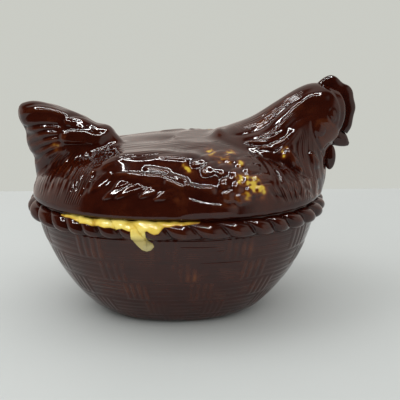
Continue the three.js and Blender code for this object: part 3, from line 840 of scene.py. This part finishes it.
def neighbour_mean(values):
    """For each point, the mean of the values of the points that it shares an edge with."""
    low, high = edges.T
    sums = [np.bincount(low, column[high], len(values)) + np.bincount(high, column[low], len(values))
            for column in values.reshape(len(values), -1).T]
    return (np.stack(sums, 1) / neighbour_counts[:, None]).reshape(values.shape)


def normals_of(points):
    """Each point's outward direction: the sum of its faces' cross products, brought to length one."""
    a, b, c, d = (points[quads[:, k]] for k in range(4))
    face = np.cross(c - a, d - b)
    total = np.stack([np.bincount(quads.ravel(), np.repeat(face[:, k], 4), len(points)) for k in range(3)], 1)
    return total / np.linalg.norm(total, axis=1, keepdims=True)


# Smooth away the lattice's steps without shrinking the clay, then fill the creases where the masses meet.
for _ in range(smooth_rounds):
    skin += 0.5 * (neighbour_mean(skin) - skin)
    skin -= 0.52 * (neighbour_mean(skin) - skin)
for _ in range(crease_rounds):
    pull = neighbour_mean(skin) - skin
    crease = (pull * normals_of(skin)).sum(1)
    for _ in range(3):
        crease = neighbour_mean(crease)
    fill = np.clip(crease / full_crease, 0, 1) * (skin[:, 2] > land_height + 3)
    skin += (0.6 * fill)[:, None] * pull

# The feathers are carved with marks measured in the photograph's frame. The far side is the near side's
# mirror, so each point of the skin is looked at as if it lay on the near side.
far_side = skin[:, 1] > 0
to_near = np.where(far_side[:, None], [1, -1, 1], 1)
skin_normal = normals_of(skin)
near_skin, near_normal = skin * to_near, skin_normal * to_near
seen = seen_at(near_skin)


def turned_to_camera(points, normals):
    """How far points face the camera: the cosine between their outward direction and the way to the
    camera."""
    way = camera_place - points
    return (normals * way).sum(1) / np.linalg.norm(way, axis=1)


# Marks fade where the surface turns edge on, at the lid's edge and along the hen's middle. The far side
# keeps only what the camera can't see over the back.
facing = soft_step(turned_to_camera(near_skin, near_normal), 0.0, 0.18)
facing *= soft_step(skin[:, 2], land_height + 1.2, land_height + 4)
away = -turned_to_camera(skin, skin_normal)
facing *= np.where(far_side, soft_step(away, -0.25, 0.05), 1) * soft_step(np.abs(skin[:, 1]), 0.0, 5.0)
form_share = np.where(far_side, soft_step(away, 0.02, 0.40), 1)
ground, relief, amber, strand, strand_depth = np.zeros((5, len(skin)))


def near_line(spots, reach):
    """The skin points that show within a reach of a line: which they are, how far off, at what share along
    it, and whether they lie above it (on the left of a line that is drawn downwards)."""
    line = smooth_line(spots, 5 * len(spots))
    which = np.flatnonzero(((seen > line.min(0) - reach) & (seen < line.max(0) + reach)).all(1))
    start, step = line[:-1], np.diff(line, axis=0)
    gap = seen[which][:, None] - start
    part = np.clip((gap * step).sum(-1) / (step ** 2).sum(-1), 0, 1)
    far = np.linalg.norm(gap - part[..., None] * step, axis=-1)
    best = far.argmin(1)
    rows = np.arange(len(which))
    share = (best + part[rows, best]) / len(step)
    close = far[rows, best] < reach
    over = step[best, 0] * gap[rows, best, 1] - step[best, 1] * gap[rows, best, 0] < 0
    return which[close], far[rows, best][close], share[close], over[close]


def carve(spots, width, depth, taper=0.3, into=None, below=None):
    """A groove along a line, or a ridge when the depth is negative: a bell across it, faded out at both
    ends. The bell may be wider below the line than above it."""
    which, far, share, over = near_line(spots, 2.6 * max(width, below or 0))
    width = np.where(over, width, below or width)
    ends = np.clip(np.minimum(share, 1 - share) / taper, 0, 1)
    (relief if into is None else into)[which] -= depth * bell(far, width) * np.sin(ends * np.pi / 2)


chance = np.random.default_rng(5)


def hatch(first, last, count, width, depth, fine=2.4, fine_depth=0.05):
    """Grooves laid side by side from one guide line to another, each a little uneven in place and depth.
    Finer streaks between them are kept as a field: a count of turns across the strands, and a depth."""
    first, last = smooth_line(first, 8), smooth_line(last, 8)
    patch = np.concatenate([first, last[::-1]])
    which = np.flatnonzero(((seen > patch.min(0)) & (seen < patch.max(0))).all(1))
    deep = inside_of(seen[which], patch)
    which, deep = which[deep > 0], deep[deep > 0]
    apart = [np.linalg.norm(seen[which][:, None] - smooth_line(line, 80), axis=-1).min(1)
             for line in (first, last)]
    across = apart[0] / (apart[0] + apart[1])
    width_here = np.median(apart[0] + apart[1])
    strand[which] = 2 * np.pi * across * max(2, round(width_here / fine)) + 1.6 * noise(*(skin[which] * 0.12).T)
    uneven = 0.55 + 0.6 * noise(*(skin[which] * 0.2 + 40).T)
    narrowing = np.clip((apart[0] + apart[1]) / width_here, 0, 1) ** 2
    strand_depth[which] = fine_depth * soft_step(deep, 0.3, 3.0) * uneven * narrowing
    for k in range(count):
        share = (k + 0.3 * (chance.random() - 0.5)) / max(count - 1, 1)
        begin, end = 0.16 * chance.random(), 1 - 0.16 * chance.random()
        line = first + (last - first) * share
        spots = smooth_line(line, 60)[int(60 * begin):int(60 * end)][::8]
        carve(spots, width * (0.8 + 0.4 * chance.random()), depth * (0.6 + 0.8 * chance.random()), 0.35)


def feather(spots, widths, lift, rib=0.25, start=0.3, soft=1.0):
    """A feather from its root to its tip that hides what lies under it: across, a low arch, and along, a
    rise from the root to the tip, where its edge stands free."""
    which, far, share, _ = near_line(spots, max(widths) + 1)
    half = np.interp(share, np.linspace(0, 1, len(widths)), widths)
    cover = soft_step(half - far, 0, soft) * soft_step(share, 0.0, 0.15)
    arch = np.sqrt(np.clip(1 - (far / np.maximum(half, 0.1)) ** 2, 0, 1))
    quill = rib * bell(far, 0.9) * soft_step(share, 0, 0.2) * soft_step(1 - share, 0.02, 0.25)
    tall = lift * (start + (1 - start) * share) * (0.45 + 0.55 * arch) - quill
    relief[which] += (tall - relief[which]) * cover


def within(outline):
    """How far each skin point shows inside a closed outline, less than 0 outside and far less away from
    it."""
    ring = smooth_line(outline, 8 * len(outline), closed=True)
    which = np.flatnonzero(((seen > ring.min(0) - 12) & (seen < ring.max(0) + 12)).all(1))
    deep = np.full(len(skin), -50.0)
    deep[which] = inside_of(seen[which], ring)
    return deep


# Large soft forms first: the folded wing, the rolls of the neck, the cheek, the ear lobe and the eye.
wing_edge = [(60, 177), (106, 177.5), (128, 182), (150, 188), (172, 195.5), (190, 202), (205, 206.5), (220, 209.5),
             (238, 209.5), (254, 205.5), (275, 196), (300, 180), (300, 60), (60, 60)]
above_edge = within(wing_edge)
across, down = seen.T
low_edge = 1.7 * (1 - 0.8 * soft_step(across, 160, 200))
wing = low_edge * soft_step(above_edge, -0.5, 5.0 + 6 * soft_step(across, 215, 262)) + soft_step(above_edge, 0, 24)
ground += wing * soft_step(down, 126, 166) * soft_step(across, 98, 126) * soft_step(-across, -270, -226)
carve([(96, 174), (108, 168), (122, 163.5), (145, 160), (168, 159.5), (192, 160.5), (212, 165)],
      6.0, -2.6, 0.2, ground, 9.0)
carve([(245, 140), (262, 137.5), (275, 131), (284, 121), (296, 108.5), (310, 98.5), (320, 96.5), (330, 97)],
      5.5, -1.7, 0.25, ground)
carve([(262, 149), (275, 145), (288, 137), (298, 127), (310, 120)], 4.0, -0.4, 0.3, ground)
ground += 1.7 * bell(across - 219.5, 5.5) * bell(down - 132, 4.2)
seen = seen_at(near_skin + near_normal * (ground * facing * form_share)[:, None])
across, down = seen.T
carve([(244, 141.7), (252, 145), (267, 142.5), (277, 138), (287, 128), (297, 119.5), (310, 114.5), (322, 114.5)],
      1.5, 0.35, 0.2)
carve([(229, 134.5), (240, 135), (255, 131.7), (267, 125), (276, 115.5), (289, 105), (305, 97)], 1.5, 0.4, 0.2)
cheek = within([(315, 120), (322, 117.5), (329, 118), (334, 122), (338.5, 128), (339, 135), (335, 140), (328, 144),
                (322, 150), (318, 142), (314, 131)])
ground += 0.8 * soft_step(cheek, -0.5, 2.0)
lobe = np.hypot((across - 320) / 5.0, (down - 130) / 5.6)
relief += 0.55 * np.sqrt(np.clip(1 - lobe ** 2, 0, 1)) - 0.4 * bell(lobe - 1.12, 0.16)
eye = np.hypot((across - 333.2 - 0.12 * (down - 116)) / 3.1, (down - 116.2) / 5.4)
relief += 0.5 * np.sqrt(np.clip(1 - eye ** 2, 0, 1)) - 0.35 * bell(eye - 1.25, 0.2) + 0.15 * bell(eye - 1.75, 0.3)
carve([(320, 111), (325, 112), (329, 116), (333, 122.5), (338, 128)], 1.2, 0.45, 0.25)
carve([(323, 81), (329, 83.5), (335, 88), (340.5, 96), (343.8, 106), (343.6, 117), (340.5, 126), (338.5, 131)],
      1.3, -0.7, 0.15)
carve([(319, 84), (327, 87), (333, 91.5), (338, 99), (341, 108), (340.8, 117), (338, 126)], 1.3, 0.45, 0.2)
carve([(312, 118), (313, 131), (317, 142), (322, 150), (324, 158)], 1.2, 0.6, 0.2)

# The tail's feathers, each parted from the next by a furrow, with finer furrows along it.
for spots, depth in (
    ([(22, 128), (35, 125.2), (48, 124.2), (62, 125.2)], 1.4),
    ([(26, 136), (36, 132.5), (47, 130), (60, 130.5)], 1.2),
    ([(28, 144), (39, 139.5), (50, 136.5), (61, 136)], 1.1),
    ([(31, 152), (42, 146.5), (52, 143), (61, 141)], 1.1),
    ([(34, 161), (44, 154), (54, 149), (64, 146)], 1.1),
):
    carve(spots, 2.0, depth, 0.12)
carve([(19, 115), (30, 111.5), (42, 110.5), (56, 112.5), (70, 118)], 6.0, -1.5, 0.12, below=2.6)
carve([(24, 107.5), (38, 104.5), (54, 107), (72, 113.5)], 1.5, 0.4, 0.2)
feather([(104, 131), (90, 126), (76, 122.5), (68, 121.5)], [8, 7, 6, 5], 1.5, 0.1, 0.3, 1.6)
feather([(106, 141), (90, 137), (76, 136.5), (66, 137)], [7, 7.5, 7.5, 6.5], 1.6, 0.1, 0.3, 1.6)
hatch([(70, 117), (82, 120), (96, 127), (106, 134)], [(68, 125), (80, 125), (92, 130), (102, 136)], 3, 1.1, 0.25)

# The saddle: long strands that sweep down from the back to the lid's rim behind the wing.
saddle_lines = (
    [(62, 147), (50, 157), (42, 171), (36, 190)], [(74, 149), (61, 161), (51, 177), (45, 202)],
    [(96, 147), (82, 160), (70, 178), (60, 205)], [(116, 147), (104, 161), (90, 181), (80, 207)],
)
for k, count, depth in ((0, 6, 0.75), (1, 8, 0.7), (2, 7, 0.6)):
    hatch(saddle_lines[k], saddle_lines[k + 1], count, 1.4, depth, 2.2, 0.10)
for root, tip in (((82, 156), (76, 164)), ((72, 165), (63, 177)), ((79, 178), (70, 191)), ((86, 187), (79, 196)),
                  ((60, 158), (50, 168)), ((90, 152), (84, 158))):
    carve([root, ((root[0] + tip[0]) / 2 + 1, (root[1] + tip[1]) / 2 + 0.5), tip], 1.3, 0.8, 0.4)
for root, middle, tip, width in (
    ((126, 157), (106, 163.5), (90, 175), 4.6), ((113, 172), (101, 182), (90, 192), 4.8),
    ((132, 180), (121, 184.5), (113, 190), 3.8), ((124, 190), (113, 194), (104, 199), 3.8),
    ((148, 184), (131, 190), (116, 198.5), 4.2), ((162, 187), (150, 191.5), (140, 198), 4.6),
    ((178, 192), (166, 195), (154, 200), 4.6),
):
    feather([root, middle, tip], [width * 0.8, width * 1.15, width * 1.1, 1.4], 1.5, 0.12, 0.25, 1.6)

# The back: low furrows from the neck to the tail.
hatch([(114, 144), (150, 140), (190, 137.5), (216, 136)], [(118, 161), (150, 157), (188, 151), (236, 147)],
      7, 1.7, 0.35, 1.8, 0.09)

# The folded wing: four long primaries, then short rounded coverts laid like tiles, the front ones on top.
for spots, width, below, depth in (
    ([(106, 175.5), (130, 175.2), (150, 176), (168, 179), (190, 186.5)], 1.9, 5.0, -1.5),
    ([(143, 168.4), (157, 170), (171, 172.8)], 1.8, 3.0, -1.0),
    ([(166, 174.5), (177, 177.6), (190, 182)], 1.7, 3.0, -1.1),
    ([(164, 181.8), (173, 185), (185, 189.4)], 1.8, 3.5, -1.7),
    ([(182, 185), (198, 189), (217, 190)], 3.0, 5.0, -1.8),
    ([(183, 198), (196, 202.5), (210, 205.5), (238, 208)], 1.7, 12.0, -1.1),
    ([(189, 159.5), (172, 158), (155, 157.5)], 2.2, 2.8, -0.9),
):
    carve(spots, width, depth, 0.2, below=below)
for u, v, size in (
    (193, 165, 4.5), (202, 160, 5.5), (203, 173, 5.5), (213, 157, 6.0), (209, 168, 6.8), (226, 159, 6.0),
    (220, 171, 7.0), (224, 184, 7.2), (226, 197, 7.0), (238, 163, 6.2), (233, 175, 6.8), (236, 188, 6.8),
    (239, 200, 6.4), (247, 170, 6.0), (245, 181, 6.4), (248, 193, 6.4), (256, 179, 5.6), (258, 190, 5.8),
):
    u, v = u + 1.5 * (chance.random() - 0.5), v + 1.5 * (chance.random() - 0.5)
    lift = 0.8 + 0.7 * soft_step(v, 155, 172)
    feather([(u + 15, v - 2.5), (u + 8, v - 1.5), (u + 2, v)], [size * 0.8, size, size * 0.95],
            lift, 0.15, 0.1, 1.9)

# Neck and breast: fine hackles over the neck, pointed ones below the roll, and long strands down the breast.
hatch([(230, 126), (250, 117.5), (272, 104.5), (290, 93.5), (306, 87.5)],
      [(240, 133), (258, 129), (272, 120), (286, 108), (303, 98)], 4, 1.6, 0.16, 1.5, 0.13)
hatch([(254, 136), (270, 130), (282, 119), (296, 108)], [(258, 141), (274, 136), (286, 124), (300, 114)],
      3, 1.3, 0.22, 1.5, 0.10)
for root, middle, tip, width in (
    ((290, 128), (270, 140), (246, 142.5), 3.4), ((296, 130), (280, 144), (258, 148.5), 3.4),
    ((300, 128), (290, 142), (276, 153), 3.6),
):
    feather([root, middle, tip], [width, width, width, 0.8], 1.3, 0.3, 0.2, 1.1)
hatch([(243, 147), (262, 160), (272, 178), (272, 198)], [(266, 152), (288, 163), (303, 176), (314, 194)],
      9, 1.3, 0.65, 1.8, 0.08)
hatch([(262, 152), (282, 160), (300, 172), (316, 186)], [(274, 154), (290, 162), (304, 172), (318, 182)],
      3, 1.1, 0.5)
hatch([(302, 126), (296.5, 143), (297, 159), (305, 176), (312, 190)],
      [(314, 130), (317, 147), (320.5, 164), (322.5, 181), (321, 194)], 5, 1.3, 0.45, 1.8, 0.08)
feather([(291, 141), (290.5, 152), (295, 162), (302, 172)], [4.0, 5.2, 4.6, 0.9], 1.6, 0.4, 0.3, 1.1)
carve([(310, 151), (314, 158), (318, 168)], 2.0, -2.2, 0.35, below=4.0)
carve([(288, 149), (291, 156), (297, 164)], 1.9, -2.0, 0.35, below=4.0)
for spots in ([(272, 193), (279, 194.5), (286, 196)], [(293, 186), (298, 190), (303, 196)],
              [(303, 183), (309, 188), (313, 194)], [(281, 184), (288, 187), (294, 192)]):
    carve(spots, 1.4, 0.9, 0.4)
hatch([(268, 186), (276, 196), (282, 208)], [(317, 176), (319.5, 187), (317, 199)], 8, 1.5, 0.9, 1.8, 0.08)

# Where the photograph sees the breast and the tail end edge on, plain strands that run down.
end_ridge_apart, end_ridge_depth, end_streak_apart, end_streak_depth = 3.6, 0.32, 1.5, 0.06
edge_on = soft_step(np.abs(skin_normal[:, 0]), 0.72, 0.95) * (1 - facing)
edge_on *= soft_step(skin[:, 2], land_height + 2, land_height + 7)
drift = noise(*(skin * 0.09).T)
end_ridges = end_ridge_depth * np.sin(2 * np.pi * skin[:, 1] / end_ridge_apart + 2.2 * drift) * edge_on
bare_end = edge_on > strand_depth
strand = np.where(bare_end, 2 * np.pi * skin[:, 1] / end_streak_apart + 5 * drift, strand)
strand_depth = np.where(bare_end, end_streak_depth * edge_on, strand_depth * facing)

# The glaze rounds every mark, breaks thin on their edges, and is rubbed to amber where the photograph shows it.
# The cheek is made a little paler as a painted reflection of the pale tent.
carved = ground * form_share + relief
blurred = neighbour_mean(carved)
rounded = 0.35 * carved + 0.65 * (0.5 * blurred + 0.5 * neighbour_mean(blurred))
lifted = rounded * facing + end_ridges
smooth_lift = lifted
for _ in range(5):
    smooth_lift = neighbour_mean(smooth_lift)
worn_edge = np.clip(lifted - smooth_lift, -1, 1)
for u, v, reach, strength in (
    (252, 183, 7.0, 0.98), (259, 192, 6.5, 1.05), (241, 181, 6.0, 0.75), (248, 196, 6.0, 0.65),
    (238, 197, 5.0, 0.4), (226, 202, 5.0, 0.3), (184, 165.5, 3.4, 0.65), (187.5, 169.5, 3.4, 0.75),
    (192, 171.5, 2.6, 0.5), (211, 152, 5.5, 0.8), (230, 155, 5.0, 0.75), (220, 160, 4.5, 0.6),
    (240, 165, 4.0, 0.7), (230, 164, 3, 0.4), (236, 204, 5, 0.3), (282, 151, 2.6, 0.8),
    (284, 156, 2.4, 0.7), (286, 148, 2.2, 0.6), (56, 146.5, 5, 0.6), (64, 137, 2.5, 0.4),
    (223, 190, 6, 0.15), (262, 123, 5, 0.22), (271, 113, 7, 0.26), (284, 102, 6, 0.2), (178, 200, 6, 0.15),
):
    amber += strength * bell(np.hypot(across - u, down - v), reach)
patchy = 0.85 + 0.6 * noise(*(skin * 0.3).T) + 0.9 * noise(*(skin * 0.62 + 7).T)
# Painted reflection: the cheek, all but its ear lobe, is made paler as if it caught the pale tent.
painted_cheek_sheen = 0.18 * soft_step(cheek, 0, 3) * soft_step(lobe, 0.9, 1.2)
face = soft_step(across, 300, 312) * soft_step(-down, -150, -140)
thin = 0.10 + (painted_cheek_sheen + amber * patchy) * facing + 0.45 * worn_edge * (1 - 0.8 * face)
skin_thin = np.clip(thin, 0, 0.98)
skin = skin + skin_normal * lifted[:, None]

# The underside is cut off along the edge of the ledge, and goes on inwards as the hollow that the slip left.
ledge_half, clay_thick = lid_half - 4.5, 5.0
neck_hollow_x, neck_hollow_half, neck_hollow_rise = 58, 15, 24

inside = (np.abs(skin[:, :2] / ledge_half) ** oval_power).sum(1) < 1
kept = quads[~((skin[:, 2] < land_height + 0.7) & inside)[quads].all(1)]
directed = np.concatenate([kept[:, [k, (k + 1) % 4]] for k in range(4)])
key = directed[:, 0] * len(skin) + directed[:, 1]
back_key = directed[:, 1] * len(skin) + directed[:, 0]
rim_points, rim_index = np.unique(directed[~np.isin(key, back_key)], return_inverse=True)
rim_from, rim_to = rim_index.reshape(-1, 2).T
share_x, share_y = (skin[rim_points, :2] / ledge_half).T
rim_turn = np.arctan2(np.sign(share_y) * np.abs(share_y) ** (oval_power / 2),
                      np.sign(share_x) * np.abs(share_x) ** (oval_power / 2)) / (2 * np.pi) % 1
skin[rim_points, :2] = oval(ledge_half, rim_turn)
skin[(skin[:, 2] < land_height + 0.8) & inside, 2] = land_height
skin[rim_points, 2] = land_height
skin[:, 2] = np.maximum(skin[:, 2], land_height)
used = np.unique(kept)
renumber = np.full(len(skin), -1)
renumber[used] = np.arange(len(used))

# How far in from the lid's edge and how high: across the ledge, up a step, and out to the foot of the hollow.
hollow_loops = []
for less, lift in ((9.8, 0), (14.8, 0), (15, 0.4), (15, 4.2), (14.6, 4.8), (10, 5.0), (5.4, 5.2)):
    hollow_loops.append(level_loop(lid_half - less, rim_turn, land_height + lift))
for lean in np.linspace(0.12, 0.5 * np.pi - 0.02, 11):
    ring = oval((lid_half - clay_thick) * math.cos(lean) ** (2 / oval_power), rim_turn)
    in_neck = np.exp(-((ring[:, 0] - neck_hollow_x) / neck_hollow_half) ** 4
                     - (ring[:, 1] / neck_hollow_half) ** 4)
    rise = (back_rise - clay_thick) * math.sin(lean) ** (2 / oval_power)
    hollow_loops.append(np.column_stack([ring, land_height + rise + neck_hollow_rise * in_neck]))
hollow_faces = []
before = renumber[rim_points]
for k in range(len(hollow_loops)):
    now = len(used) + k * len(rim_points) + np.arange(len(rim_points))
    hollow_faces.append(np.stack([before[rim_to], before[rim_from], now[rim_from], now[rim_to]], -1))
    before = now
pole = len(used) + len(hollow_loops) * len(rim_points)
closing = np.stack([before[rim_to], before[rim_from], np.full(len(rim_to), pole)], -1)
hen_points = np.concatenate([skin[used], *hollow_loops, [[0, 0, land_height + back_rise - clay_thick]]])
put("hen_casting", (hen_points, [renumber[kept], *hollow_faces, closing]), hen_glaze, "hen_lid",
    ["lid_shell", "neck", "head", "tail_fan", "wing_right", "wing_left"],
    thinness=skin_thin[used], strand=strand[used], strand_depth=strand_depth[used])


# ---------------------------------------------------------------------------
# Locating ring: a low wall under the lid, cast with it, that drops inside the
# basket's rim and keeps the hen from sliding.
ring_depth, ring_width, ring_clearance = 7.0, 5.0, 1.0
ring_foot = land_height - ring_depth
ring_turns = np.linspace(0, 1, 480, endpoint=False)
outer_side = [(0, land_height + 1.5), (0, ring_foot + 1.2), (0.35, ring_foot + 0.35), (1.2, ring_foot)]
inner_side = [(ring_width - less, height) for less, height in reversed(outer_side)]
ring_outer = opening_half - ring_clearance
ring_loops = [level_loop(ring_outer - less, ring_turns, height) for less, height in outer_side + inner_side]
put("locating_ring", (np.concatenate(ring_loops), [tube_faces(len(ring_loops), len(ring_turns))[:, ::-1]]),
    hen_glaze, "hen_lid", ["locating_flange"])


# ---------------------------------------------------------------------------
# Comb: a low single comb with rounded lobes, pressed on from the back of the
# crown down over the forehead to the beak, and glazed with the head.
comb_edge_spots = [  # points of the photograph's frame, from the back of the crown
    (316, 84.5), (320, 80.5), (325, 77), (331, 74.7), (337, 77), (341, 81.5), (344.5, 83.8), (348.5, 85.2),
    (351.8, 88.8), (353.2, 93), (353.6, 98), (355.0, 103), (355.6, 108), (354.2, 113), (353.0, 118),
    (352.2, 123), (350.8, 128), (347, 133.5),
]
comb_root_spots = [
    (318, 92), (321, 89), (324, 88), (328, 88), (331, 90), (333.5, 92), (336, 95), (338, 98), (339.5, 101),
    (340.5, 104), (341, 107), (341.5, 110), (341.5, 113), (341, 116), (340.5, 119), (340, 122), (339.5, 125),
    (338.5, 128),
]
comb_half, comb_round = 3.0, 0.5  # a power: the smaller, the fuller


def on_middle_plane(spots):
    """Where the camera's rays through points of the photograph meet the hen's upright middle plane: each
    runs one ahead, and right and up by the point's distance from the frame's middle over the focal length."""
    off_axis = (np.array(spots) - frame_side / 2) / focal
    ways = look + right * off_axis[:, :1] - up * off_axis[:, 1:]
    return camera_place - ways * (camera_place[1] / ways[:, 1:2])


comb_edge, comb_root = (smooth_line(on_middle_plane(spots), 240) for spots in (comb_edge_spots, comb_root_spots))
for _ in range(60):
    for line in (comb_edge, comb_root):
        line[1:-1] += 0.5 * (0.5 * (line[2:] + line[:-2]) - line[1:-1])
section = np.linspace(-np.pi / 2, np.pi / 2, 61)
comb_loops = comb_root[:, None] + (comb_edge - comb_root)[:, None] * np.cos(section)[None, :, None] ** comb_round
comb_loops[:, :, 1] += comb_half * np.sin(section)
comb_surface = capped_loops(comb_loops[:, ::-1], comb_loops[0].mean(0), comb_loops[-1].mean(0))
put("comb", comb_surface, hen_glaze, "hen_lid", ["comb"])


# ---------------------------------------------------------------------------
# Beak: short and hooked, pressed from a pinch of clay and luted to the face
# under the glaze. It is closed, and its mouth hardly shows.
beak_rails = np.array([  # as for the neck, but from the upper point to the lower one, going forwards
    [0.930, 0.620, 0.900, 0.430, 1.0],
    [0.975, 0.575, 0.955, 0.410, 0.85],
    [1.010, 0.515, 0.995, 0.405, 0.55],
    [1.029, 0.440, 1.022, 0.412, 0.12],
])
beak_half = 4.5
beak_loops = leaning_ovals(smooth_line(beak_rails, 40), beak_half, 60)
put("beak", capped_loops(beak_loops, beak_loops[0].mean(0), beak_loops[-1].mean(0)),
    hen_glaze, "hen_lid", ["beak"])


# ---------------------------------------------------------------------------
# Wattles: two soft drops of clay that hang under the beak, one on each side,
# pressed on and glazed with the head.
wattle_apart = 8.4
wattle_half = np.array([0.034 * neck_reach, 2.4, 0.12 * neck_rise])
tilt = np.linspace(-np.pi / 2, np.pi / 2, 30)[1:-1, None]
angle = np.linspace(0, 2 * np.pi, 48, endpoint=False)
ball = np.stack(np.broadcast_arrays(np.cos(tilt) * np.cos(angle), np.cos(tilt) * np.sin(angle), np.sin(tilt)), -1)
for side, name in ((-1, "wattle_right"), (1, "wattle_left")):
    middle = np.array([0.909 * neck_reach, side * wattle_apart / 2, land_height + 0.32 * neck_rise])
    end = np.array([0, 0, wattle_half[2]])
    put(name, capped_loops(middle + ball * wattle_half, middle - end, middle + end), hen_glaze, "hen_lid", [name])
